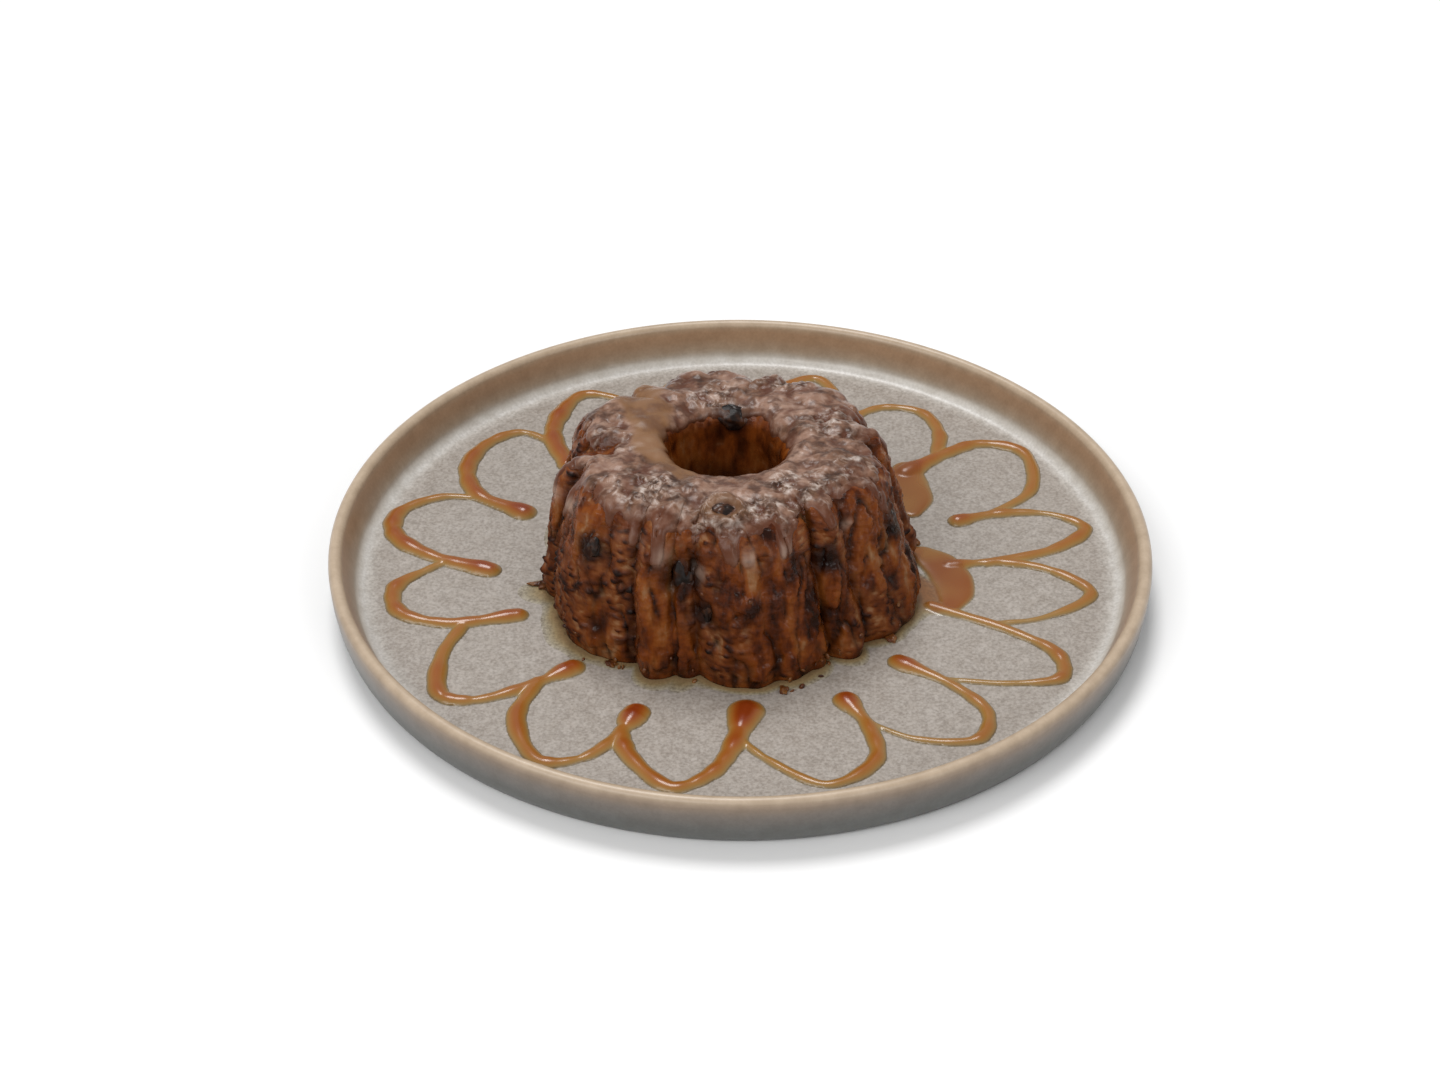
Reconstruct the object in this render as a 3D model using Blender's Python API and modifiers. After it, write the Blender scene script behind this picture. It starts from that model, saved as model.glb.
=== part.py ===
"""Date cake: a small sauce-soaked ring cake on a stoneware plate with a piped caramel drizzle.

Metres, +Z up. The origin is the centre of the plate's underside, and -Y is the front.
Two solids: the plate, with the thick drizzle fused to its floor, and the cake that stands on it.
"""
import math

import bmesh
import bpy
from mathutils import Vector, noise

MM = 0.001

# Plate: flat, with an upright wall, a rounded lip and a low ring to stand on
PLATE_RADIUS = 110.0 * MM
PLATE_HEIGHT = 15.0 * MM
FLOOR_TOP = 4.2 * MM
WALL_THICKNESS = 3.7 * MM
WALL_FOOT_RADIUS = 103.5 * MM
FLOOR_FILLET = 3.5 * MM
WALL_DRAFT = 8
OUTER_WALL = ((109.0 * MM, 5.0 * MM), (107.6 * MM, 1.4 * MM), (106.2 * MM, 0.0))
FOOT_RING_RADIUS = 92.0 * MM
FOOT_RING_HEIGHT = 0.8 * MM
PLATE_SEGMENTS = 72

# Cake: ring cake with six broad lobes and a narrow rib in each gap between them
CAKE_CENTRE = Vector((-1.5 * MM, -1.1 * MM, FLOOR_TOP))
CAKE_FOOT_RADIUS = 50.0 * MM
CAKE_HEIGHT = 44.8 * MM
CAKE_LEAN = Vector((-2.2 * MM, -0.4 * MM, 0.0))
LEAN_HEIGHT = 30.0 * MM
CAKE_SEGMENTS = 126
LOBE_HALF_ANGLE = 22.0
LOBE_DROP = 6.5 * MM
LOBE_ROUNDNESS = 2.4
RIB_HALF_ANGLE = 7.0
RIB_DROP = 5.0 * MM
FLUTE_FADE = 1.6
TOP_RIPPLE = 12.0 * MM
TOP_TILT = 0.037
TILT_FROM = -28.0 * MM

# Angle in degrees and radius at the foot in millimetres, 0 at +X and 270 at the front
LOBES = ((39, 50.2), (99, 47.4), (159, 49.6), (217, 54.2), (278, 52.4), (336, 52.1))
RIBS = (
    (9, 50.0), (69, 47.0), (129, 46.8), (191, 51.8), (245, 53.2), (254, 49.8), (296, 49.0), (310, 50.2),
)

# Shallow creases that part the lobes: angle in degrees and depth in millimetres
CREASES = (
    (33, 1.2), (48, 1.0), (99, 1.5), (152, 1.3), (169, 1.2), (208, 1.2), (228, 1.3), (283, 1.5), (330, 0.8),
)
CREASE_HALF_ANGLE = 3.4

# Cake profile for a 50 mm foot: radius and height above the floor, up the hole and down the outside
CAKE_PROFILE = (
    (11.5, 0.3), (12.6, 14.0), (13.8, 28.0), (14.7, 37.0), (15.7, 41.0), (17.8, 43.4),
    (21.5, 44.6), (27.0, 44.9), (32.0, 44.8), (36.5, 43.9), (40.0, 41.6), (42.2, 37.6),
    (43.8, 32.5), (45.3, 26.0), (46.7, 19.0), (48.0, 12.0), (49.4, 5.5), (49.3, 0.3),
)
HOLE_RIM_RADIUS = 16.0 * MM
SHOULDER_RADIUS = 42.0 * MM
SHOULDER_HEIGHT = 36.0 * MM
CREST_RADIUS = 27.0 * MM

# Pieces of date that break the surface, or the pits that they left: degrees, radius and height above
# the floor in millimetres, then their half width and how far they lift or sink the surface
DATES = (
    (223, 46.0, 32.5, 4.0, 1.0), (254, 43.0, 29.0, 5.0, -1.8), (262, 45.0, 20.0, 3.5, -1.2),
    (306, 42.0, 29.0, 4.0, -1.2), (302, 43.5, 13.0, 3.5, -1.2), (187, 34.0, 44.4, 4.5, -2.6),
    (269, 34.0, 44.2, 3.8, 1.2), (83, 15.6, 40.4, 4.0, 1.2), (20, 44.0, 24.0, 4.0, 1.0),
    (75, 44.0, 18.0, 4.0, -1.2), (118, 43.5, 30.0, 4.5, 1.2), (150, 46.0, 15.0, 4.0, -1.2),
    (48, 44.0, 28.0, 4.0, -1.2), (338, 45.0, 30.0, 4.0, 1.0),
)

# Unevenness of the crumb: size of the lumps and how far they move the surface
CRUMB_LUMPS = ((9.0 * MM, 1.0 * MM), (4.5 * MM, 0.7 * MM))
NOISE_START = Vector((3.1, 7.7, 1.3))

# Drizzle: one petal a row, as degrees and millimetres from the plate's centre and the line's width there,
# in the order that the line is piped: low flank, tip, high flank, stem and the blob that ends it
PETALS = (
    ((5.9, 86.0, 4.6), (11.0, 96.5, 4.7), (16.0, 90.0, 2.8), (19.5, 76.5, 4.2), (20.1, 64.0, 5.6)),
    ((24.3, 89.0, 4.0), (34.8, 97.5, 4.7), (41.1, 90.5, 4.5), (43.0, 80.0, 5.2), (44.0, 65.0, 7.5)),
    ((48.3, 86.0, 4.8), (55.0, 92.0, 4.0), (61.7, 88.8, 3.4), (65.8, 80.0, 4.0), (68.5, 68.0, 6.2)),
    ((70.5, 87.0, 3.2), (76.3, 96.0, 4.4), (82.5, 88.0, 4.6), (86.0, 78.0, 4.4), (88.0, 64.0, 6.0)),
    ((92.0, 87.0, 3.0), (98.0, 94.5, 4.2), (104.5, 88.0, 4.8), (107.0, 78.0, 4.4), (109.0, 64.0, 6.2)),
    ((113.0, 90.0, 3.6), (118.0, 96.0, 4.4), (124.4, 90.7, 6.0), (129.9, 82.5, 6.0), (134.5, 69.0, 6.5)),
    ((133.5, 90.0, 3.6), (140.0, 93.0, 4.8), (148.0, 90.0, 5.8), (154.5, 80.5, 5.6), (156.4, 65.0, 7.0)),
    ((158.0, 89.0, 3.4), (164.8, 97.5, 5.2), (170.6, 95.5, 6.3), (176.2, 83.5, 5.4), (180.7, 67.5, 7.0)),
    ((180.3, 84.0, 3.2), (185.4, 92.7, 5.3), (192.0, 92.5, 5.3), (197.4, 81.5, 4.8), (199.5, 62.5, 6.6)),
    ((206.0, 86.5, 4.6), (215.5, 94.5, 5.8), (219.5, 89.5, 3.9), (222.7, 76.5, 4.6), (224.9, 61.5, 6.8)),
    ((228.3, 86.0, 5.5), (238.0, 95.5, 4.8), (243.2, 90.0, 3.5), (246.1, 79.0, 4.6), (246.7, 67.5, 8.2)),
    ((249.7, 83.0, 5.8), (259.4, 93.0, 4.8), (264.9, 86.5, 5.0), (268.3, 76.0, 6.0), (271.2, 61.5, 10.5)),
    ((274.7, 81.0, 3.2), (283.4, 92.8, 3.5), (292.6, 87.5, 5.2), (295.5, 75.5, 4.6), (295.3, 63.0, 6.8)),
    ((301.4, 85.0, 2.6), (309.7, 94.0, 4.4), (315.3, 88.5, 4.2), (317.1, 74.5, 4.0), (315.1, 58.0, 6.5)),
    ((324.3, 85.5, 2.6), (330.3, 95.5, 4.6), (335.4, 91.0, 4.8), (338.6, 77.0, 3.8), (341.7, 53.5, 4.6)),
    ((344.6, 83.0, 2.6), (353.0, 94.4, 4.6), (359.1, 84.5, 3.8), (2.2, 71.0, 3.8), (1.3, 56.5, 5.0)),
)
# Where a petal's thin side leaves the stem before it, as a share of the way to that stem's blob
BRANCH_SHARE = 0.3
START_SHARE = 0.8
END_SHARE = 0.5
STEM_SPAN = 4
STEPS_PER_SPAN = 5
SAUCE_FLATNESS = 0.42
POOL_FLATNESS = 0.18
SAUCE_SINK = 0.15 * MM

# Shallow pools where the drizzle runs together beside the cake: degrees, millimetres and width
POOLS = (
    ((343.5, 58.0, 6.0), (349.0, 58.0, 10.0), (355.0, 57.5, 11.0), (0.5, 57.5, 8.0)),
    ((28.0, 57.0, 5.0), (34.0, 60.0, 9.0), (40.0, 62.5, 10.0), (44.5, 67.0, 7.0)),
)


def polar(degrees, radius_mm):
    """Point on the plate's floor plane, given as an angle and a distance from its centre."""
    angle = math.radians(degrees)
    return Vector((math.cos(angle), math.sin(angle), 0.0)) * radius_mm * MM


def material(name, colour, roughness):
    """Principled material with a plain colour."""
    result = bpy.data.materials.new(name)
    result.use_nodes = True
    shader = result.node_tree.nodes["Principled BSDF"]
    shader.inputs["Base Color"].default_value = (*colour, 1.0)
    shader.inputs["Roughness"].default_value = roughness
    shader.inputs["Metallic"].default_value = 0.0
    return result


def turned(name, profile, segments, closed, collection):
    """Mesh object turned about Z from (radius, height) points, applied from a Screw modifier."""
    mesh = bpy.data.meshes.new(name)
    edges = [(i, i + 1) for i in range(len(profile) - 1)]
    if closed:
        edges.append((len(profile) - 1, 0))
    mesh.from_pydata([(radius, 0.0, height) for radius, height in profile], edges, [])
    guide = bpy.data.objects.new(name + "_profile", mesh)
    collection.objects.link(guide)
    screw = guide.modifiers.new("turn", "SCREW")
    screw.steps = screw.render_steps = segments
    screw.use_merge_vertices = True
    screw.merge_threshold = 0.01 * MM
    return mesh_copy(guide, name, collection)


def mesh_copy(source, name, collection):
    """Evaluated copy of an object as a welded mesh object in world space; the source is removed."""
    bpy.context.view_layer.update()
    depsgraph = bpy.context.evaluated_depsgraph_get()
    mesh = bpy.data.meshes.new_from_object(source.evaluated_get(depsgraph))
    mesh.transform(source.matrix_world)
    cage = bmesh.new()
    cage.from_mesh(mesh)
    bmesh.ops.remove_doubles(cage, verts=cage.verts, dist=0.01 * MM)
    bmesh.ops.recalc_face_normals(cage, faces=cage.faces)
    cage.to_mesh(mesh)
    cage.free()
    bpy.data.objects.remove(source)
    result = bpy.data.objects.new(name, mesh)
    collection.objects.link(result)
    return result


def arc(centre, radius, start, end, steps):
    """Points on an arc in the profile's plane, from one angle to another in degrees."""
    points = []
    for step in range(steps + 1):
        angle = math.radians(start + (end - start) * step / steps)
        points.append((centre[0] + radius * math.cos(angle), centre[1] + radius * math.sin(angle)))
    return points


def plate_profile():
    """Half section of the plate from the middle of the floor, over the lip and back under it."""
    lip = WALL_THICKNESS / 2
    fillet_centre = (WALL_FOOT_RADIUS - FLOOR_FILLET, FLOOR_TOP + FLOOR_FILLET)
    profile = [(0.0, FLOOR_TOP), (CAKE_FOOT_RADIUS, FLOOR_TOP)]
    profile += arc(fillet_centre, FLOOR_FILLET, -90, -WALL_DRAFT, 4)
    profile += arc((PLATE_RADIUS - lip, PLATE_HEIGHT - lip), lip, 180, 0, 6)
    profile += OUTER_WALL
    profile += [
        (FOOT_RING_RADIUS, 0.0),
        (FOOT_RING_RADIUS - FOOT_RING_HEIGHT, FOOT_RING_HEIGHT),
        (0.0, FOOT_RING_HEIGHT),
    ]
    return profile


def smooth_path(points, steps):
    """Points along a centripetal Catmull-Rom curve through the given points."""
    ends = [2 * points[0] - points[1]] + points + [2 * points[-1] - points[-2]]
    path = []
    for a, b, c, d in zip(ends, ends[1:], ends[2:], ends[3:]):
        tb = (b - a).length ** 0.5
        tc = tb + (c - b).length ** 0.5
        td = tc + (d - c).length ** 0.5
        for step in range(steps):
            t = tb + (tc - tb) * step / steps
            ab = a.lerp(b, t / tb)
            bc = b.lerp(c, (t - tb) / (tc - tb))
            cd = c.lerp(d, (t - tc) / (td - tc))
            abc = ab.lerp(bc, t / tc)
            bcd = bc.lerp(cd, (t - tb) / (td - tb))
            path.append(abc.lerp(bcd, (t - tb) / (tc - tb)))
    return path + [points[-1]]


def trail(name, path, widths, flatness, collection):
    """Flattened bead of sauce along a path on the floor, as a closed mesh object."""
    curve = bpy.data.curves.new(name, "CURVE")
    curve.dimensions = "3D"
    curve.twist_mode = "Z_UP"
    curve.bevel_depth = 1.0 * MM
    curve.bevel_resolution = 2
    curve.use_fill_caps = True
    spline = curve.splines.new("POLY")
    spline.points.add(len(path) - 1)
    for point, place, width in zip(spline.points, path, widths):
        point.co = (place.x, place.y, 0.0, 1.0)
        point.radius = width / 2 / curve.bevel_depth
    bead = bpy.data.objects.new(name + "_curve", curve)
    bead.location.z = FLOOR_TOP - SAUCE_SINK
    bead.scale.z = flatness
    collection.objects.link(bead)
    return mesh_copy(bead, name, collection)


def petal_trail(index, collection):
    """One petal: it leaves the stem before it, swells and thins as it was piped, and ends in a blob."""
    petal = PETALS[index]
    last_stem, last_blob = [polar(*place[:2]) for place in PETALS[index - 1][3:]]
    start = last_stem.lerp(last_blob, BRANCH_SHARE)
    path = smooth_path([start] + [polar(*place[:2]) for place in petal], STEPS_PER_SPAN)
    knots = [START_SHARE * petal[0][2]] + [place[2] for place in petal]
    widths = []
    for step in range(len(path)):
        span, share = divmod(step, STEPS_PER_SPAN)
        share /= STEPS_PER_SPAN
        if span == STEM_SPAN:
            share = round(share)
        following = knots[min(span + 1, len(knots) - 1)]
        widths.append((knots[span] * (1 - share) + following * share) * MM)
    widths[-1] *= END_SHARE
    return trail(f"petal_{index}", path, widths, SAUCE_FLATNESS, collection)


def pool_trail(index, collection):
    """One shallow pool beside the cake."""
    places = [polar(degrees, radius) for degrees, radius, _ in POOLS[index]]
    path = smooth_path(places, STEPS_PER_SPAN)
    widths = []
    for step in range(len(path)):
        span = min(int(step / STEPS_PER_SPAN), len(POOLS[index]) - 2)
        share = step / STEPS_PER_SPAN - span
        widths.append((POOLS[index][span][2] * (1 - share) + POOLS[index][span + 1][2] * share) * MM)
    widths[0] /= 2
    widths[-1] /= 2
    return trail(f"pool_{index}", path, widths, POOL_FLATNESS, collection)


def build_plate(parts, tools):
    """Plate with the drizzle and the pools fused to its floor."""
    plate = turned("plate", plate_profile(), PLATE_SEGMENTS, False, parts)
    plate.data.materials.append(material("glazed_stoneware", (0.39, 0.35, 0.30), 0.35))
    for index in range(len(PETALS)):
        petal_trail(index, tools)
    for index in range(len(POOLS)):
        pool_trail(index, tools)
    union = plate.modifiers.new("fuse_drizzle", "BOOLEAN")
    union.operation = "UNION"
    union.solver = "EXACT"
    union.operand_type = "COLLECTION"
    union.collection = tools
    mesh_copy(plate, "plate", parts)
    for sauce in list(tools.objects):
        bpy.data.objects.remove(sauce)


def angle_between(first, second):
    """Smallest difference between two angles in degrees."""
    return abs((first - second + 180) % 360 - 180)


def foot_radius(degrees):
    """Radius of the cake's foot in one direction: the outermost of its lobes and ribs, less any crease."""
    radii = [CAKE_FOOT_RADIUS - LOBE_DROP - RIB_DROP]
    for place, radius in LOBES:
        share = angle_between(degrees, place) / LOBE_HALF_ANGLE
        radii.append(radius * MM - LOBE_DROP * share ** LOBE_ROUNDNESS)
    for place, radius in RIBS:
        share = angle_between(degrees, place) / RIB_HALF_ANGLE
        radii.append(radius * MM - RIB_DROP * share ** 2)
    foot = max(radii)
    for place, depth in CREASES:
        share = angle_between(degrees, place) / CREASE_HALF_ANGLE
        foot -= depth * MM * math.exp(-share * share)
    return foot


def lean(height):
    """Sideways shift of the baked cake, which sags a little to the front left."""
    share = min(max(height / LEAN_HEIGHT, 0.0), 1.0)
    return CAKE_LEAN * share * share * (3 - 2 * share)


def surface_shift(place):
    """How far the uneven crumb and the dates lift the baked surface at a place."""
    shift = 0.0
    for size, depth in CRUMB_LUMPS:
        shift += depth * noise.noise(place / size + NOISE_START)
    for degrees, radius, height, half_width, lift in DATES:
        middle = polar(degrees, radius) + Vector((0.0, 0.0, height * MM))
        share = (place - middle).length / (half_width * MM)
        shift += lift * MM * math.exp(-share * share)
    return shift


def shaped(place):
    """Where a point of the turned cake goes: out to the lobes and ribs, lower at the back and uneven."""
    radius = math.hypot(place.x, place.y)
    outward = Vector((place.x, place.y, 0.0)) / radius
    degrees = math.degrees(math.atan2(place.y, place.x)) % 360
    rise = min(max((radius - HOLE_RIM_RADIUS) / (SHOULDER_RADIUS - HOLE_RIM_RADIUS), 0.0), 1.0)
    flute = (foot_radius(degrees) / CAKE_FOOT_RADIUS - 1) * rise ** FLUTE_FADE
    moved = place + outward * radius * flute
    shift = surface_shift(place)
    slope = min(max((place.z - SHOULDER_HEIGHT) / (CAKE_HEIGHT - SHOULDER_HEIGHT), 0.0), 1.0)
    side = 1.0 if radius > CREST_RADIUS else -1.0
    moved += outward * side * shift * (1.0 - slope)
    moved.z += shift * slope + TOP_RIPPLE * flute * slope
    moved.z -= TOP_TILT * max(place.y - TILT_FROM, 0.0) * place.z / CAKE_HEIGHT
    return moved + lean(place.z)


def build_cake(parts):
    """Turned ring cake standing just clear of the plate's floor."""
    profile = [(radius * MM, height * MM) for radius, height in CAKE_PROFILE]
    cake = turned("date_cake", profile, CAKE_SEGMENTS, True, parts)
    cake.data.materials.append(material("date_sponge", (0.10, 0.035, 0.012), 0.45))
    for vertex in cake.data.vertices:
        vertex.co = shaped(vertex.co) + CAKE_CENTRE


def main():
    for leftover in list(bpy.data.objects):
        bpy.data.objects.remove(leftover)
    parts = bpy.data.collections.new("date_cake_on_plate")
    tools = bpy.data.collections.new("drizzle_pieces")
    bpy.context.scene.collection.children.link(parts)
    bpy.context.scene.collection.children.link(tools)
    build_plate(parts, tools)
    build_cake(parts)


main()
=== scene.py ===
"""Looks of the date cake: glazed plate, piped caramel, soaked sponge, toffee glaze, dates and crumbs."""
import math

import bmesh
import bpy
import numpy as np
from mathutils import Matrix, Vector, noise


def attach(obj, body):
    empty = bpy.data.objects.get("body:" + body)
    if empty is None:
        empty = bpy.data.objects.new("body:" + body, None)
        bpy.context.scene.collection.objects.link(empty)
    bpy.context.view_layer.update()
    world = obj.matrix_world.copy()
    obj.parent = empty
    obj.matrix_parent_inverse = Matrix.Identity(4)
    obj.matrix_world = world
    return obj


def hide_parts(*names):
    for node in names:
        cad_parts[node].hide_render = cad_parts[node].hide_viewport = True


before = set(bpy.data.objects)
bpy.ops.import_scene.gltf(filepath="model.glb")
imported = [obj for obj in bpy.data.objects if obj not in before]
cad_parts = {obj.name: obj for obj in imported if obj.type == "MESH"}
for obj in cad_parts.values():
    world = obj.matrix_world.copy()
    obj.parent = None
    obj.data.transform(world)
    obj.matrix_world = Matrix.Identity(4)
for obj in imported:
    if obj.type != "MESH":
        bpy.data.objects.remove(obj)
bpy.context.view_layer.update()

MM = 0.001
NODE_KINDS = ("ShaderNode", "GeometryNode", "FunctionNode")

# The same driving sizes as the solids, in millimetres
PLATE_RADIUS = 110.0
PLATE_HEIGHT = 15.0
FLOOR_TOP = 4.2
WALL_THICKNESS = 3.7
WALL_FOOT_RADIUS = 103.5
FLOOR_FILLET = 3.5
FLOOR_EDGE = 99.0
MIDDLE_RADIUS = 2.0
UNDERSIDE_RISE = 0.8
UNDERSIDE_EDGE = 85.0

# Outside of the plate's wall and its foot ring: radius and height
OUTER_PROFILE = (
    (109.7, 9.0), (109.0, 5.0), (108.4, 3.0), (107.6, 1.4), (107.0, 0.5), (106.2, 0.0), (99.0, 0.0),
    (92.4, 0.0), (91.8, 0.25), (91.2, 0.8),
)
CAKE_CENTRE = (-1.5, -1.1)
CAKE_HEIGHT = 44.8
CAKE_FOOT_RADIUS = 50.0
CAKE_LEAN = (-2.2, -0.4)
LEAN_HEIGHT = 30.0
LOBE_HALF_ANGLE = 22.0
LOBE_DROP = 6.5
LOBE_ROUNDNESS = 2.4
RIB_HALF_ANGLE = 7.0
RIB_DROP = 5.0
FLUTE_FADE = 1.6
TOP_RIPPLE = 12.0
TOP_TILT = 0.037
TILT_FROM = -28.0
HOLE_RIM_RADIUS = 16.0
SHOULDER_RADIUS = 42.0
SHOULDER_HEIGHT = 36.0
CREST_RADIUS = 27.0
CREST_ABOVE = 40.0

# Lobes, ribs and creases: degrees, then how far they reach from the axis, or how deep a crease is
LOBES = ((39, 50.2), (99, 47.4), (159, 49.6), (217, 54.2), (278, 52.4), (336, 52.1))
RIBS = (
    (9, 50.0), (69, 47.0), (129, 46.8), (191, 51.8), (245, 53.2), (254, 49.8), (296, 49.0), (310, 50.2),
)
CREASES = (
    (33, 1.2), (48, 1.0), (99, 1.5), (152, 1.3), (169, 1.2), (208, 1.2), (228, 1.3), (283, 1.5), (330, 0.8),
)
CREASE_HALF_ANGLE = 3.4

# Half section of the cake, from the foot of its hole over the crest to its foot: radius and height
CAKE_PROFILE = (
    (11.5, 0.3), (12.6, 14.0), (13.8, 28.0), (14.7, 37.0), (15.7, 41.0), (17.8, 43.4),
    (21.5, 44.6), (27.0, 44.9), (32.0, 44.8), (36.5, 43.9), (40.0, 41.6), (42.2, 37.6),
    (43.8, 32.5), (45.3, 26.0), (46.7, 19.0), (48.0, 12.0), (49.4, 5.5), (49.3, 0.3),
)

# Lumps of the baked surface: size and height, and where their noise starts
LUMPS = ((9.0, 1.0), (4.5, 0.7))
NOISE_START = (3.1, 7.7, 1.3)

# Upright ridges of the side: their size, how far they bend, and where they begin and reach their height,
# as distances past the crest and above the foot
RIDGE_WIDTH = 5.6
RIDGE_HEIGHT = 1.5
RIDGE_SQUASH = 0.2
RIDGE_SHARPNESS = 0.16
RIDGE_LEVEL = 0.75
RIDGE_BEND = 1.6
BEND_SIZE = 8.0
RIDGE_FROM = 4.0
RIDGE_GROWTH = 9.0
RIDGE_FOOT = 3.0

# Where the glaze flowed smooth, from the back left past the hole: degrees, radius and width
FLOW = ((134, 38.0, 15.0), (141, 30.0, 13.0), (157, 22.0, 11.0), (199, 19.0, 9.0), (238, 20.5, 7.0))

# Where it set as a frosty crust over the crumb, whose pale specks are painted glints: degrees, radius and
# reach
FROST = (
    (230, 32.0, 8.5), (305, 32.0, 9.5), (263, 37.0, 7.5), (284, 37.0, 7.5), (100, 22.0, 6.0),
    (184, 33.0, 7.0), (335, 37.0, 6.0), (15, 28.0, 7.0), (62, 35.0, 8.0),
)

# Painted sheen: pale painted highlights just under the glaze's edge: degrees, height, half width and half
# height
SHEEN = (
    (237, 37.0, 2.8, 1.7), (247, 34.7, 2.0, 2.6), (261, 31.0, 1.8, 1.9), (278, 36.2, 3.0, 2.1),
    (290, 36.4, 3.6, 1.9), (318, 35.5, 2.4, 1.6), (206, 36.0, 2.6, 1.9), (191, 33.0, 2.0, 2.2),
    (165, 36.5, 2.8, 1.8), (126, 35.5, 2.4, 2.1), (95, 36.5, 2.9, 1.9), (66, 34.0, 2.0, 2.4),
    (33, 36.5, 2.8, 1.8), (11, 33.5, 1.9, 2.3), (350, 36.0, 2.6, 1.7),
)
SHEEN_STREAK = 1.6

# The glaze's ragged edges, as distance from the crest, then size, height and seed of each unevenness
OUTER_EDGE = (13.6, (9.0, 3.0, 4), (2.6, 1.8, 6))
INNER_EDGE = (12.0, (22.0, 3.0, 8), (7.0, 1.5, 11))

# Glaze runs down the side: degrees, length beyond the edge, width and how far the run wanders sideways
RUNS = (
    (202, 8.0, 5.0, 1.0), (226, 3.5, 3.0, 0.5), (236, 6.0, 5.0, 0.8), (246, 9.0, 4.4, 0.6),
    (259, 3.0, 3.0, -0.6), (271, 4.5, 6.0, 0.8), (291, 6.0, 6.5, -0.8), (309, 4.5, 4.4, 0.6),
    (334, 7.0, 5.0, 1.0), (9, 9.0, 3.6, 0.5), (24, 5.0, 4.0, 0.7), (41, 8.0, 5.5, -0.9),
    (69, 10.0, 3.6, 0.5), (88, 6.0, 5.0, -0.8), (104, 9.0, 5.5, 0.9), (137, 7.0, 5.0, 0.6),
    (158, 9.0, 5.5, -1.0), (189, 9.0, 3.6, 0.6),
)
RUN_WAVE = 4.0
RUN_TAPER = 0.3
RUN_ABOVE = 6.0
RUN_BLEND = 2.0

# Glaze where it is cream and lies whole, and how much thinner it is over crumb, in millimetres
GLAZE_THICKNESS = 0.72
GLAZE_THINNER = 0.2
GLAZE_EDGE_WIDTH = 1.3
GLAZE_DIVE = 1.0
BACKING_DEPTH = 2.6
BACKING_STEP = 6

# Dates and pits: degrees, radius and height above the floor, half width, and how far they lift or sink
DATES = (
    (223, 46.0, 32.5, 4.0, 1.0), (254, 43.0, 29.0, 5.0, -1.8), (262, 45.0, 20.0, 3.5, -1.2),
    (306, 42.0, 29.0, 4.0, -1.2), (302, 43.5, 13.0, 3.5, -1.2), (187, 34.0, 44.4, 4.5, -2.6),
    (269, 34.0, 44.2, 3.8, 1.2), (83, 15.6, 40.4, 4.0, 1.2), (20, 44.0, 24.0, 4.0, 1.0),
    (75, 44.0, 18.0, 4.0, -1.2), (118, 43.5, 30.0, 4.5, 1.2), (150, 46.0, 15.0, 4.0, -1.2),
    (48, 44.0, 28.0, 4.0, -1.2), (338, 45.0, 30.0, 4.0, 1.0),
)

# Place in the list of the date that is baked into an open ring
RING_DATE = 6
RING_CENTRE = (0.78, 0.56, 0.3)
DATE_ON_TOP = (1.05, 0.75, 0.3)
DATE_ON_SIDE = (0.56, 0.78, 0.24)
RIM_RADIUS = 4.2
RING_PIT = 3.0
RIM_WIDTH = 1.2
RIM_HEIGHT = 1.3
RIM_STRETCH = (0.85, 1.1, 1.0)
EMPTY_PIT = -2.5
PIT_STRETCH = (0.75, 1.0, 1.0)
DATE_SINK = 0.6
SEAT_SPAN = 4

# Grooves: how far round their depth is compared, in degrees, how deep the darkest are, and how dark their
# painted shade is
CREVICE_REACH = 7.0
CREVICE_DEPTH = 1.8
CREVICE_SHADE = 0.7

# Painted shade low in the hole: how dark it is, and the height and depth over which it darkens
HOLE_SHADE = 0.55
HOLE_SHADE_TOP = 36.0
HOLE_SHADE_FADE = 16.0

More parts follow.
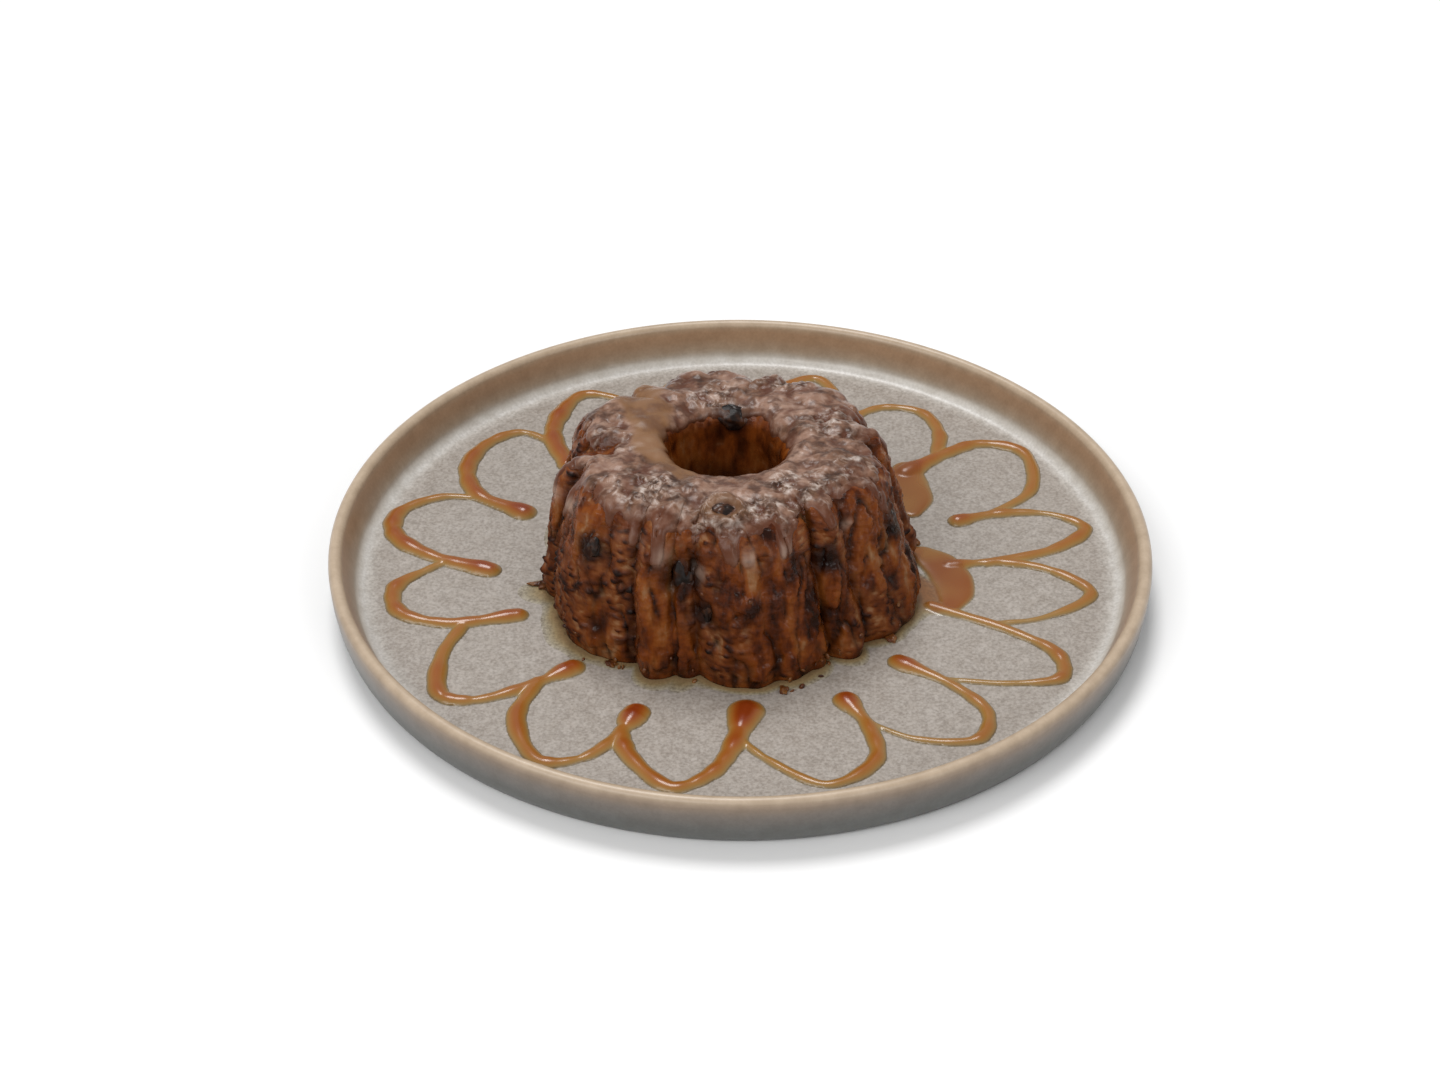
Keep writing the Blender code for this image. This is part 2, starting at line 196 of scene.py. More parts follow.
# Drizzle: one petal a row, as degrees, radius and width: low flank, tip, high flank, stem, blob
PETALS = (
    ((5.9, 86.0, 4.6), (11.0, 96.5, 4.7), (16.0, 90.0, 2.8), (19.5, 76.5, 4.2), (20.1, 64.0, 5.6)),
    ((24.3, 89.0, 4.0), (34.8, 97.5, 4.7), (41.1, 90.5, 4.5), (43.0, 80.0, 5.2), (44.0, 65.0, 7.5)),
    ((48.3, 86.0, 4.8), (55.0, 92.0, 4.0), (61.7, 88.8, 3.4), (65.8, 80.0, 4.0), (68.5, 68.0, 6.2)),
    ((70.5, 87.0, 3.2), (76.3, 96.0, 4.4), (82.5, 88.0, 4.6), (86.0, 78.0, 4.4), (88.0, 64.0, 6.0)),
    ((92.0, 87.0, 3.0), (98.0, 94.5, 4.2), (104.5, 88.0, 4.8), (107.0, 78.0, 4.4), (109.0, 64.0, 6.2)),
    ((113.0, 90.0, 3.6), (118.0, 96.0, 4.4), (124.4, 90.7, 6.0), (129.9, 82.5, 6.0), (134.5, 69.0, 6.5)),
    ((133.5, 90.0, 3.6), (140.0, 93.0, 4.8), (148.0, 90.0, 5.8), (154.5, 80.5, 5.6), (156.4, 65.0, 7.0)),
    ((158.0, 89.0, 3.4), (164.8, 97.5, 5.2), (170.6, 95.5, 6.3), (176.2, 83.5, 5.4), (180.7, 67.5, 7.0)),
    ((180.3, 84.0, 3.2), (185.4, 92.7, 5.3), (192.0, 92.5, 5.3), (197.4, 81.5, 4.8), (199.5, 62.5, 6.6)),
    ((206.0, 86.5, 4.6), (215.5, 94.5, 5.8), (219.5, 89.5, 3.9), (222.7, 76.5, 4.6), (224.9, 61.5, 6.8)),
    ((228.3, 86.0, 5.5), (238.0, 95.5, 4.8), (243.2, 90.0, 3.5), (246.1, 79.0, 4.6), (246.7, 67.5, 8.2)),
    ((249.7, 83.0, 5.8), (259.4, 93.0, 4.8), (264.9, 86.5, 5.0), (268.3, 76.0, 6.0), (271.2, 61.5, 10.5)),
    ((274.7, 81.0, 3.2), (283.4, 92.8, 3.5), (292.6, 87.5, 5.2), (295.5, 75.5, 4.6), (295.3, 63.0, 6.8)),
    ((301.4, 85.0, 2.6), (309.7, 94.0, 4.4), (315.3, 88.5, 4.2), (317.1, 74.5, 4.0), (315.1, 58.0, 6.5)),
    ((324.3, 85.5, 2.6), (330.3, 95.5, 4.6), (335.4, 91.0, 4.8), (338.6, 77.0, 3.8), (341.7, 53.5, 4.6)),
    ((344.6, 83.0, 2.6), (353.0, 94.4, 4.6), (359.1, 84.5, 3.8), (2.2, 71.0, 3.8), (1.3, 56.5, 5.0)),
)

# Bead: where on the last stem a petal starts, how its width runs, and how high the liquid stands
BRANCH_SHARE = 0.3
START_WIDTH = 0.8
WIDTH_STOPS = (0, 1, 2, 3, 4, 4.5, 4.85, 5)
WOBBLES = ((0.07, 5.3, 2.1), (0.04, 13.0, 1.0))
BEAD_RISE = 0.27
BEAD_LIMIT = 2.3
BEAD_ROUNDNESS = 1.0
BEAD_STEPS = 60
JOIN_SOFTNESS = 0.12
DRIZZLE_PITCH = 0.5
DRIZZLE_REACH = 100.0
DRIZZLE_BELOW = 0.35
DRIZZLE_SINK = 0.9

# Pools: how high they stand, how far their tint spreads, and degrees, radius and width along each
POOL_LIMIT = 0.8
POOL_ROUNDNESS = 2.5
POOL_TINT_REACH = 2.4
POOL_TINT = 0.8
POOLS = (
    ((343.5, 58.5, 6.0), (349.0, 58.5, 10.5), (355.0, 57.0, 12.0), (2.0, 54.0, 11.0), (7.0, 50.0, 8.0)),
    ((29.0, 54.5, 6.0), (34.0, 58.5, 11.0), (40.0, 61.5, 12.0), (44.5, 66.0, 9.0)),
)

# Thin syrup that crept out round the cake's foot: degrees and width of the film in millimetres
SYRUP_FILM = (
    (5, 2.6), (60, 2.0), (120, 2.4), (165, 5.5), (187, 6.5), (198, 4.5), (225, 3.6), (245, 3.0), (252, 4.0),
    (262, 2.4), (275, 1.4), (298, 3.4), (306, 3.8), (315, 1.6), (326, 3.2), (335, 1.6), (339, 3.0),
    (343, 10.0), (350, 10.0), (357, 6.0),
)
FILM_HEIGHT = 0.26
FILM_LEAST = 0.4
FILM_TUCK = 4.0

# Crumbs that stick to the cake's foot: degrees and radius from its centre, half length outward, half width
# and half height
FOOT_CRUMBS = (
    (187.0, 52.4, 3.0, 0.9, 0.9), (188.5, 51.0, 2.0, 1.6, 1.6), (283.3, 53.6, 1.6, 1.0, 0.8),
    (323.5, 51.0, 1.7, 1.3, 0.9), (232.0, 52.0, 1.2, 1.5, 0.7), (14.0, 50.5, 1.6, 1.1, 0.9),
    (112.0, 48.0, 1.8, 1.2, 1.0), (63.0, 47.5, 1.5, 1.0, 0.8),
)

# Camera: where it stands and what it looks at, in millimetres
CAMERA_DISTANCE = 900.0
CAMERA_ELEVATION = 35.93
CAMERA_TARGET = (-5.38, 0.0, 13.75)
CAMERA_LENS = 83.92
SENSOR_WIDTH = 36.0

# How finely each piece is divided: columns round it, and rows down it as start, end and spacing
PLATE_COLUMNS = 288
SPONGE_COLUMNS = 640
SPONGE_ROWS = ((None, -34.0, 3.0), (-34.0, -14.0, 1.3), (-14.0, 2.0, 2.5), (2.0, None, 0.48))
GLAZE_COLUMNS = 720
GLAZE_ROWS = ((-17.0, -9.0, 0.8), (-9.0, 9.0, 0.5), (9.0, 24.0, 0.46), (24.0, 34.0, 0.7))
SEAT_COLUMNS = 720
SEAT_ROWS = ((None, None, 0.5),)
CRUMB_COLUMNS = 240
CRUMB_ROWS = ((14.0, None, 1.5),)
CRUMB_RINGS = ((0.5, 1.0), (2.5, 0.25), (5.5, 0.0))
SECTION_STEPS = 40
FLOW_STEPS = 12

# The plate's glaze along its section, in millimetres from the middle of its floor; the pale band round the
# fillet is glaze pooled paler there together with a painted highlight
PLATE_ZONES = (
    (0.0, "#B3ABA3"), (97.0, "#AFA79F"), (99.0, "#BEB8B1"), (101.5, "#D3D0CB"), (103.6, "#C6C0B6"),
    (105.4, "#AA9782"), (108.5, "#A5876B"), (111.0, "#AD8C6E"), (112.8, "#BBA68D"), (115.6, "#C0AC95"),
    (117.6, "#8A7764"), (120.5, "#736A62"), (125.0, "#62625F"), (131.0, "#5E605D"), (134.0, "#8B7C6C"),
)
SPECKLE_ZONES = (
    (0.0, "#BFBFBF"), (99.0, "#BFBFBF"), (103.0, "#6A6A6A"), (112.0, "#6A6A6A"), (116.0, "#404040"),
    (122.0, "#707070"),
)

# Lamps: name, azimuth, elevation, angle across and strength
LAMPS = (
    ("key_light", 105.0, 66.0, 22.0, 1.5), ("left_light", 220.0, 44.0, 30.0, 0.76),
    ("right_light", 308.0, 30.0, 26.0, 0.42), ("window", 250.0, 47.0, 13.0, 0.32),
)
WORLD_STRENGTH = 0.44
FLOOR_HALF_SIDE = 6000.0
FLOOR_BELOW = 0.2


def linear(code):
    """sRGB hex colour as linear RGBA."""
    channels = [int(code[i:i + 2], 16) / 255 for i in (1, 3, 5)]
    return tuple(c / 12.92 if c <= 0.04045 else ((c + 0.055) / 1.055) ** 2.4 for c in channels) + (1.0,)


def feed(tree, node, inputs):
    """Sets a node's inputs, by name or in order; each is a value or another node's output."""
    for key, value in inputs.items() if isinstance(inputs, dict) else enumerate(inputs):
        if isinstance(value, bpy.types.NodeSocket):
            tree.links.new(value, node.inputs[key])
        else:
            node.inputs[key].default_value = value


def add(tree, kind, inputs=(), out=None, stops=(), **settings):
    """Adds a node of a Shader, Geometry or Function kind with its settings, inputs and colour stops.

    Gives the output that out names, or else the first one that the settings leave in use.
    """
    prefix = next(start for start in NODE_KINDS if hasattr(bpy.types, start + kind))
    new = tree.nodes.new(prefix + kind)
    for key, value in settings.items():
        setattr(new, key, value)
    feed(tree, new, inputs)
    for position, _ in stops[2:]:
        new.color_ramp.elements.new(position)
    for number, (position, code) in enumerate(stops):
        new.color_ramp.elements[number].position = position
        new.color_ramp.elements[number].color = linear(code)
    return new.outputs[out] if out else next(socket for socket in new.outputs if socket.enabled)


def new_material(name, attributes=()):
    """Node material: itself, its tree, its shader, the place in the piece and its attributes by name."""
    made = bpy.data.materials.new(name)
    made.use_nodes = True
    tree = made.node_tree
    place = add(tree, "TexCoord", out="Object")
    read = {key: add(tree, "Attribute", out="Fac", attribute_name=key) for key in attributes}
    return made, tree, tree.nodes["Principled BSDF"], place, read


def link(name, data):
    """Object for a mesh, a lamp or a camera."""
    made = bpy.data.objects.new(name, data)
    bpy.context.scene.collection.objects.link(made)
    return made


def mesh_object(name, points, faces, values=None, material=None):
    """Mesh object from points in millimetres, with its float attributes, shaded smooth."""
    mesh = bpy.data.meshes.new(name)
    mesh.from_pydata((np.asarray(points) * MM).tolist(), [], faces)
    for key, numbers in (values or {}).items():
        layer = mesh.attributes.new(key, "FLOAT", "POINT")
        layer.data.foreach_set("value", np.asarray(numbers, dtype=np.float32).ravel())
    mesh.shade_smooth()
    mesh.update()
    if material:
        mesh.materials.append(material)
    return link(name, mesh)


def grid_faces(rows, columns, close_rows):
    """Quads of a grid whose columns run round; its rows may run round as well."""
    last = rows if close_rows else rows - 1
    r, c = np.meshgrid(np.arange(last), np.arange(columns), indexing="ij")
    r2, c2 = (r + 1) % rows, (c + 1) % columns
    quads = np.stack([r * columns + c, r * columns + c2, r2 * columns + c2, r2 * columns + c], -1)
    return quads.reshape(-1, 4).tolist()


def smoothstep(value):
    """Eased step from 0 to 1."""
    held = np.clip(value, 0.0, 1.0)
    return held * held * (3 - 2 * held)


def noise_from(start, points, size):
    """Perlin noise at each point, for lumps of one size in millimetres."""
    found = [noise.noise(Vector(place) + start) for place in points.reshape(-1, 3) / size]
    return np.array(found).reshape(points.shape[:-1])


def field(points, size, seed):
    """Perlin noise that differs with its seed."""
    return noise_from(Vector((seed * 13.7, seed * 5.1, seed * 2.3)), points, size)


def turn_from(degrees, place):
    """Signed turn in degrees from one direction to others, the shorter way round."""
    return (degrees - place + 180) % 360 - 180


def level_ways(degrees):
    """Level unit vectors in the given directions."""
    turns = np.radians(degrees)
    return np.stack([np.cos(turns), np.sin(turns), np.zeros(turns.shape)], -1)


def lengths_along(path):
    """Distance of each point of a path from its start, along it."""
    return np.concatenate([[0.0], np.cumsum(np.hypot(*np.diff(path, axis=0).T))])


def baked(source, tree, values, name):
    """Runs a Geometry Nodes tree on an object and keeps the result as a plain mesh object."""
    modifier = source.modifiers.new(tree.name, "NODES")
    modifier.node_group = tree
    sockets = {item.name: item.identifier for item in tree.interface.items_tree if item.in_out == "INPUT"}
    for key, value in values.items():
        modifier[sockets[key]] = value
    bpy.context.view_layer.update()
    depsgraph = bpy.context.evaluated_depsgraph_get()
    mesh = bpy.data.meshes.new_from_object(source.evaluated_get(depsgraph))
    mesh.name = name
    bpy.data.objects.remove(source)
    return link(name, mesh)


def geometry_tree(name, inputs):
    """Geometry Nodes tree with named number inputs: the tree, what it is given and its last socket."""
    tree = bpy.data.node_groups.new(name, "GeometryNodeTree")
    tree.interface.new_socket("Geometry", in_out="INPUT", socket_type="NodeSocketGeometry")
    for key, start in inputs:
        kind = "NodeSocketInt" if isinstance(start, int) else "NodeSocketFloat"
        tree.interface.new_socket(key, in_out="INPUT", socket_type=kind).default_value = start
    tree.interface.new_socket("Geometry", in_out="OUTPUT", socket_type="NodeSocketGeometry")
    return tree, tree.nodes.new("NodeGroupInput").outputs, tree.nodes.new("NodeGroupOutput").inputs[0]


# Plate

def arc(centre, radius, start, end, steps):
    """Points on an arc in the profile's plane, from one angle to another in degrees."""
    turns = np.radians(np.linspace(start, end, steps + 1))
    return [(centre[0] + radius * math.cos(t), centre[1] + radius * math.sin(t)) for t in turns]


def plate_profile():
    """Half section of the plate from the middle of the floor, over the lip and back under it."""
    lip = WALL_THICKNESS / 2
    fillet_centre = (WALL_FOOT_RADIUS - FLOOR_FILLET, FLOOR_TOP + FLOOR_FILLET)
    profile = [(radius, FLOOR_TOP) for radius in np.linspace(MIDDLE_RADIUS, FLOOR_EDGE, 20)]
    profile += arc(fillet_centre, FLOOR_FILLET, -90, -8, 10)
    profile += arc((PLATE_RADIUS - lip, PLATE_HEIGHT - lip), lip, 180, 0, 16)
    profile += OUTER_PROFILE
    profile += [(radius, UNDERSIDE_RISE) for radius in np.linspace(UNDERSIDE_EDGE, MIDDLE_RADIUS, 8)]
    return np.array(profile)


def speckle(tree, place):
    """Dark specks of the stoneware's glaze, under a millimetre across, with white between them."""
    speck = add(tree, "TexNoise", {"Vector": place, "Scale": 1300.0, "Detail": 2.0})
    return add(tree, "ValToRGB", {"Fac": speck}, stops=((0.3, "#968D83"), (0.66, "#FFFFFF")))


def plate_material(length):
    """Satin reactive-glazed stoneware: fine grey-beige speckle, pale where it pools with a painted highlight
    there, brown on the wall.
    """
    made, tree, shader, place, read = new_material("glazed_stoneware", ("along",))
    share = add(tree, "Math", (read["along"], length), operation="DIVIDE")
    drift = add(tree, "TexNoise", {"Vector": place, "Scale": 90.0, "Detail": 3.0})
    wander = add(tree, "Math", (drift, 0.006, -0.003), operation="MULTIPLY_ADD")
    moved = add(tree, "Math", (share, wander), operation="ADD")
    zones = add(tree, "ValToRGB", {"Fac": moved},
                stops=[(mm / length, code) for mm, code in PLATE_ZONES] + [(1.0, "#77726B")])
    amount = add(tree, "ValToRGB", {"Fac": share},
                 stops=[(mm / length, code) for mm, code in SPECKLE_ZONES])
    mottle = add(tree, "TexNoise", {"Vector": place, "Scale": 240.0, "Detail": 5.0})
    soft = add(tree, "ValToRGB", {"Fac": mottle}, stops=((0.3, "#DDD8D2"), (0.7, "#FFFFFF")))
    color = zones
    for factor, layer in ((amount, speckle(tree, place)), (0.6, soft)):
        color = add(tree, "Mix", {"Factor": factor, "A": color, "B": layer}, data_type="RGBA",
                    blend_type="MULTIPLY")
    bump = add(tree, "Bump", {"Height": mottle, "Strength": 0.12, "Distance": 0.0003})
    feed(tree, shader, {"Base Color": color, "Normal": bump, "Roughness": 0.36, "IOR": 1.5})
    return made


def build_plate():
    """Turned plate with the distance along its section kept for the glaze."""
    profile = plate_profile()
    rows, columns = len(profile), PLATE_COLUMNS
    turns = np.linspace(0, 2 * math.pi, columns, endpoint=False)
    points = np.zeros((rows, columns, 3))
    points[..., 0] = profile[:, :1] * np.cos(turns)
    points[..., 1] = profile[:, :1] * np.sin(turns)
    points[..., 2] = profile[:, 1:]
    along = profile[0, 0] + lengths_along(profile)
    length = along[-1] + profile[-1, 0]
    faces = [face[::-1] for face in grid_faces(rows, columns, False)]
    flat = points.reshape(-1, 3)
    for row, height, turn in ((0, FLOOR_TOP, 1), (rows - 1, UNDERSIDE_RISE, -1)):
        ring = list(range(row * columns, (row + 1) * columns))
        faces += [[a, b, len(flat)][::turn] for a, b in zip(ring, ring[1:] + ring[:1])]
        flat = np.vstack([flat, [[0.0, 0.0, height]]])
    values = np.concatenate([np.repeat(along, columns), [0.0, length]])
    plate = mesh_object("stoneware_plate", flat, faces, {"along": values}, plate_material(length))
    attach(plate, "root")
    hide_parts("plate")


# Caramel

def polar(degrees, radius):
    """Point on the floor from an angle in degrees and a distance from the plate's centre."""
    angle = math.radians(degrees)
    return np.array((radius * math.cos(angle), radius * math.sin(angle)))


def smooth_path(points, steps):
    """Points along a centripetal Catmull-Rom curve through the given points."""
    ends = [2 * points[0] - points[1]] + points + [2 * points[-1] - points[-2]]
    path = []
    for a, b, c, d in zip(ends, ends[1:], ends[2:], ends[3:]):
        tb = np.linalg.norm(b - a) ** 0.5
        tc = tb + np.linalg.norm(c - b) ** 0.5
        td = tc + np.linalg.norm(d - c) ** 0.5
        for t in np.linspace(tb, tc, steps, endpoint=False):
            ab = a + (b - a) * t / tb
            bc = b + (c - b) * (t - tb) / (tc - tb)
            cd = c + (d - c) * (t - tc) / (td - tc)
            abc = ab + (bc - ab) * t / tc
            bcd = bc + (cd - bc) * (t - tb) / (td - tb)
            path.append(abc + (bcd - abc) * (t - tb) / (tc - tb))
    return np.array(path + [points[-1]])


def widening_path(places, steps):
    """Path through rows of degrees, radius and width, with its width at each point."""
    path = smooth_path([polar(*place[:2]) for place in places], steps)
    widths = [place[2] for place in places]
    return path, np.interp(np.arange(len(path)) / steps, range(len(widths)), widths)


def petal_bead(index):
    """Path and widths of one petal of the drizzle, which leaves the stem of the petal before it."""
    petal = PETALS[index]
    last_stem, last_blob = [polar(*place[:2]) for place in PETALS[index - 1][3:]]
    start = last_stem + (last_blob - last_stem) * BRANCH_SHARE
    path = smooth_path([start] + [polar(*place[:2]) for place in petal], BEAD_STEPS)
    widths = [START_WIDTH * petal[0][2]] + [place[2] for place in petal]
    span = np.arange(len(path)) / BEAD_STEPS
    wobble = 1 + sum(share * np.sin(span * rate + index * shift) for share, rate, shift in WOBBLES)
    width = np.interp(span, WIDTH_STOPS, widths[:5] + [widths[4], widths[5], widths[5]])
    return path, width * wobble


def bead_height(x, y, path, widths, limit, roundness):
    """Height of a liquid bead above the floor at each place, below zero outside its edge."""
    best = np.full(x.shape, -1.0)
    for (px, py), width in zip(path, widths):
        near = (np.abs(x - px) < width) & (np.abs(y - py) < width)
        share = ((x[near] - px) ** 2 + (y[near] - py) ** 2) / (width / 2) ** 2
        best[near] = np.maximum(best[near], np.minimum(BEAD_RISE * width, limit) * (1 - share ** roundness))
    return best


def film_height(x, y, spot):
    """Height of the thin syrup round the cake's foot."""
    dx, dy = x - CAKE_CENTRE[0], y - CAKE_CENTRE[1]
    degrees = np.degrees(np.arctan2(dy, dx)) % 360
    places, widths = np.array(SYRUP_FILM).T
    width = np.interp(degrees, places, widths, period=360)
    width = width * (1 + 0.5 * field(spot, 11.0, 2)) + 0.4 * field(spot, 4.0, 3)
    gap = np.hypot(dx, dy) - foot_radius(degrees)
    share = np.maximum(gap, 0) / np.maximum(width, FILM_LEAST)
    return np.where(gap > -FILM_TUCK, FILM_HEIGHT * (1 - share), -1.0)


def caramel_material():
    """Clear caramel: olive gold where it is thin, deep orange-brown in the blobs, wet and glossy."""
    made, tree, shader, place, read = new_material("piped_caramel", ("depth", "pooled"))
    share = add(tree, "Math", (read["depth"], BEAD_LIMIT), operation="DIVIDE")
    tone = add(tree, "ValToRGB", {"Fac": share}, stops=(
        (0.0, "#AAA294"), (0.04, "#9F947C"), (0.08, "#95825F"), (0.12, "#8A7150"), (0.2, "#927545"),
        (0.36, "#976B33"), (0.54, "#945C24"), (0.66, "#8F4F1C"), (0.78, "#873F10"), (0.92, "#792E07")))
    amount = add(tree, "Math", (read["pooled"], 0.85), operation="MULTIPLY")
    color = add(tree, "Mix", {"Factor": amount, "A": tone, "B": linear("#834610")}, data_type="RGBA")
    clear = add(tree, "MapRange", {"Value": share, "From Min": 0.0, "From Max": 0.16,
                "To Min": 0.8, "To Max": 0.0})
    seen = add(tree, "Mix", {"Factor": clear, "A": color, "B": speckle(tree, place)},
               data_type="RGBA", blend_type="MULTIPLY")
    gloss = add(tree, "MapRange", {"Value": read["pooled"], "To Min": 0.22, "To Max": 0.3})
    feed(tree, shader, {"Base Color": seen, "Roughness": gloss, "IOR": 1.46})
    return made


def build_caramel():
    """The piped line as one liquid body: a height field over the floor, joined softly where lines meet."""
    axis = np.linspace(-DRIZZLE_REACH, DRIZZLE_REACH, int(2 * DRIZZLE_REACH / DRIZZLE_PITCH) + 1)
    x, y = np.meshgrid(axis, axis, indexing="ij")
    spot = np.stack([x, y, np.zeros(x.shape)], -1)
    patches = 0.95 + 0.9 * field(spot, 9.0, 41)
    film = film_height(x, y, spot)
    total = np.zeros(x.shape)
    pooled = np.zeros(x.shape)
    for index in range(len(PETALS)):
        height = bead_height(x, y, *petal_bead(index), BEAD_LIMIT, BEAD_ROUNDNESS)
        total += np.exp(height / JOIN_SOFTNESS)
    for pool in POOLS:
        path, widths = widening_path(pool, BEAD_STEPS)
        height = bead_height(x, y, path, widths, POOL_LIMIT, POOL_ROUNDNESS)
        pooled = np.maximum(pooled, smoothstep(height / POOL_LIMIT) * patches)
        spread = bead_height(x, y, path, widths * POOL_TINT_REACH, POOL_LIMIT, BEAD_ROUNDNESS) / POOL_LIMIT
        pooled = np.maximum(pooled, POOL_TINT * smoothstep(1.6 * spread) * smoothstep(8.0 * film))
        total += np.exp(height / JOIN_SOFTNESS)
    total += np.exp(film / JOIN_SOFTNESS)
    height = JOIN_SOFTNESS * np.log(total)
    keep = height > -DRIZZLE_BELOW
    cells = keep[:-1, :-1] & keep[1:, :-1] & keep[:-1, 1:] & keep[1:, 1:]
    used = np.zeros(x.shape, dtype=bool)
    for di in (0, 1):
        for dj in (0, 1):
            used[di:di + cells.shape[0], dj:dj + cells.shape[1]] |= cells
    number = np.full(x.shape, -1)
    number[used] = np.arange(used.sum())
    top = np.stack([x[used], y[used], FLOOR_TOP + height[used]], -1)
    bottom = top.copy()
    bottom[:, 2] = FLOOR_TOP - DRIZZLE_SINK
    i, j = np.nonzero(cells)
    corners = np.stack([number[i, j], number[i + 1, j], number[i + 1, j + 1], number[i, j + 1]], -1)
    faces = corners.tolist() + (corners[:, ::-1] + len(top)).tolist()
    edges = dict.fromkeys(edge for a, b, c, d in corners.tolist()
                          for edge in ((a, b), (b, c), (c, d), (d, a)))
    faces += [[b, a, a + len(top), b + len(top)] for a, b in edges if (b, a) not in edges]
    values = {"depth": np.tile(height[used], 2), "pooled": np.tile(pooled[used], 2)}
    caramel = mesh_object("caramel_drizzle", np.vstack([top, bottom]), faces, values, caramel_material())
    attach(caramel, "root")
    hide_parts("plate")


# Cake

def foot_radius(degrees):
    """Radius of the cake's foot in each direction: the outermost of its lobes and ribs, less any crease."""
    radius = np.full(degrees.shape, CAKE_FOOT_RADIUS - LOBE_DROP - RIB_DROP)
    for flutes, half_angle, drop, roundness in (
            (LOBES, LOBE_HALF_ANGLE, LOBE_DROP, LOBE_ROUNDNESS), (RIBS, RIB_HALF_ANGLE, RIB_DROP, 2)):
        for place, reach in flutes:
            share = np.abs(turn_from(degrees, place)) / half_angle
            radius = np.maximum(radius, reach - drop * share ** roundness)
    for place, depth in CREASES:
        share = np.abs(turn_from(degrees, place)) / CREASE_HALF_ANGLE
        radius = radius - depth * np.exp(-share ** 2)
    return radius


def cake_section(spacings):
    """Section of the cake at chosen distances along it: radius, height, distance from the crest."""
    path = smooth_path([np.array(point) for point in CAKE_PROFILE], SECTION_STEPS)
    along = lengths_along(path)
    off_crest = np.where(path[:, 1] < CREST_ABOVE, np.inf, np.abs(path[:, 0] - CREST_RADIUS))
    crest = along[np.argmin(off_crest)]
    places = []
    for start, end, spacing in spacings:
        first = along[0] if start is None else crest + start
        last = along[-1] if end is None else crest + end
        number = max(2, int(round((last - first) / spacing)))
        places.append(np.linspace(first, last, number, endpoint=False))
    places = np.concatenate(places + [[last]])
    return np.interp(places, along, path[:, 0]), np.interp(places, along, path[:, 1]), places - crest


def surface_shift(points):
    """How far the uneven crumb and the dates lift the baked surface at each place."""
    shift = np.zeros(points.shape[:-1])
    for size, depth in LUMPS:
        shift += depth * noise_from(Vector(NOISE_START), points, size)
    for degrees, radius, height, half_width, lift in DATES:
        middle = np.array((*polar(degrees, radius), height))
        share = np.linalg.norm(points - middle, axis=-1) / half_width
        shift += lift * np.exp(-share ** 2)
    return shift


def cake_surface(radius, height, columns):
    """Points of the fluted cake on a grid: one row for each place on the section, columns round it."""
    degrees = np.linspace(0, 360, columns, endpoint=False)
    outward = level_ways(degrees)[None]
    place = outward * radius[:, None, None]
    place[..., 2] = height[:, None]
    rise = np.clip((radius - HOLE_RIM_RADIUS) / (SHOULDER_RADIUS - HOLE_RIM_RADIUS), 0, 1) ** FLUTE_FADE
    flute = (foot_radius(degrees) / CAKE_FOOT_RADIUS - 1)[None] * rise[:, None]
    shift = surface_shift(place)
    slope = np.clip((height - SHOULDER_HEIGHT) / (CAKE_HEIGHT - SHOULDER_HEIGHT), 0, 1)[:, None]
    side = np.where(radius > CREST_RADIUS, 1.0, -1.0)[:, None]
    moved = place + outward * (radius[:, None] * flute + side * shift * (1 - slope))[..., None]
    moved[..., 2] += shift * slope + TOP_RIPPLE * flute * slope
    moved[..., 2] -= TOP_TILT * np.maximum(place[..., 1] - TILT_FROM, 0) * place[..., 2] / CAKE_HEIGHT
    lean = smoothstep(height / LEAN_HEIGHT)[:, None]
    for axis in (0, 1):
        moved[..., axis] += CAKE_LEAN[axis] * lean + CAKE_CENTRE[axis]
    moved[..., 2] += FLOOR_TOP
    return moved, degrees


def grid_normals(points):
    """Outward unit normals of a grid of points whose columns run round."""
    around = np.roll(points, -1, axis=1) - np.roll(points, 1, axis=1)
    down = np.gradient(points, axis=0)
    normal = np.cross(down, around)
    return normal / np.linalg.norm(normal, axis=-1, keepdims=True)


def ridged_surface(radius, height, along, columns):
    """The cake's surface with its upright ridges: points, directions, and 1 on a ridge to 0 in a crevice."""
    points, degrees = cake_surface(radius, height, columns)
    grown = smoothstep((along - RIDGE_FROM) / RIDGE_GROWTH)[:, None]
    bent = points * (1.0, 1.0, RIDGE_SQUASH)
    for axis, seed in ((0, 31), (1, 37)):
        bent[..., axis] += RIDGE_BEND * field(points, BEND_SIZE, seed)
    swell = np.abs(field(bent, RIDGE_WIDTH, 33)) + 0.5 * np.abs(field(bent, RIDGE_WIDTH / 2, 35))
    crevice = np.exp(-swell / RIDGE_SHARPNESS)
    top = 1 - crevice * grown
    lift = RIDGE_HEIGHT * (top - RIDGE_LEVEL) * grown * smoothstep(height / RIDGE_FOOT)[:, None]
    return points + grid_normals(points) * lift[..., None], degrees, top


def ragged_edge(degrees, middle, *bumps):
    """Distance of the glaze's edge from the crest in each direction."""
    round_the_cake = level_ways(degrees) * CAKE_FOOT_RADIUS
    return middle + sum(height * field(round_the_cake, size, seed) for size, height, seed in bumps)


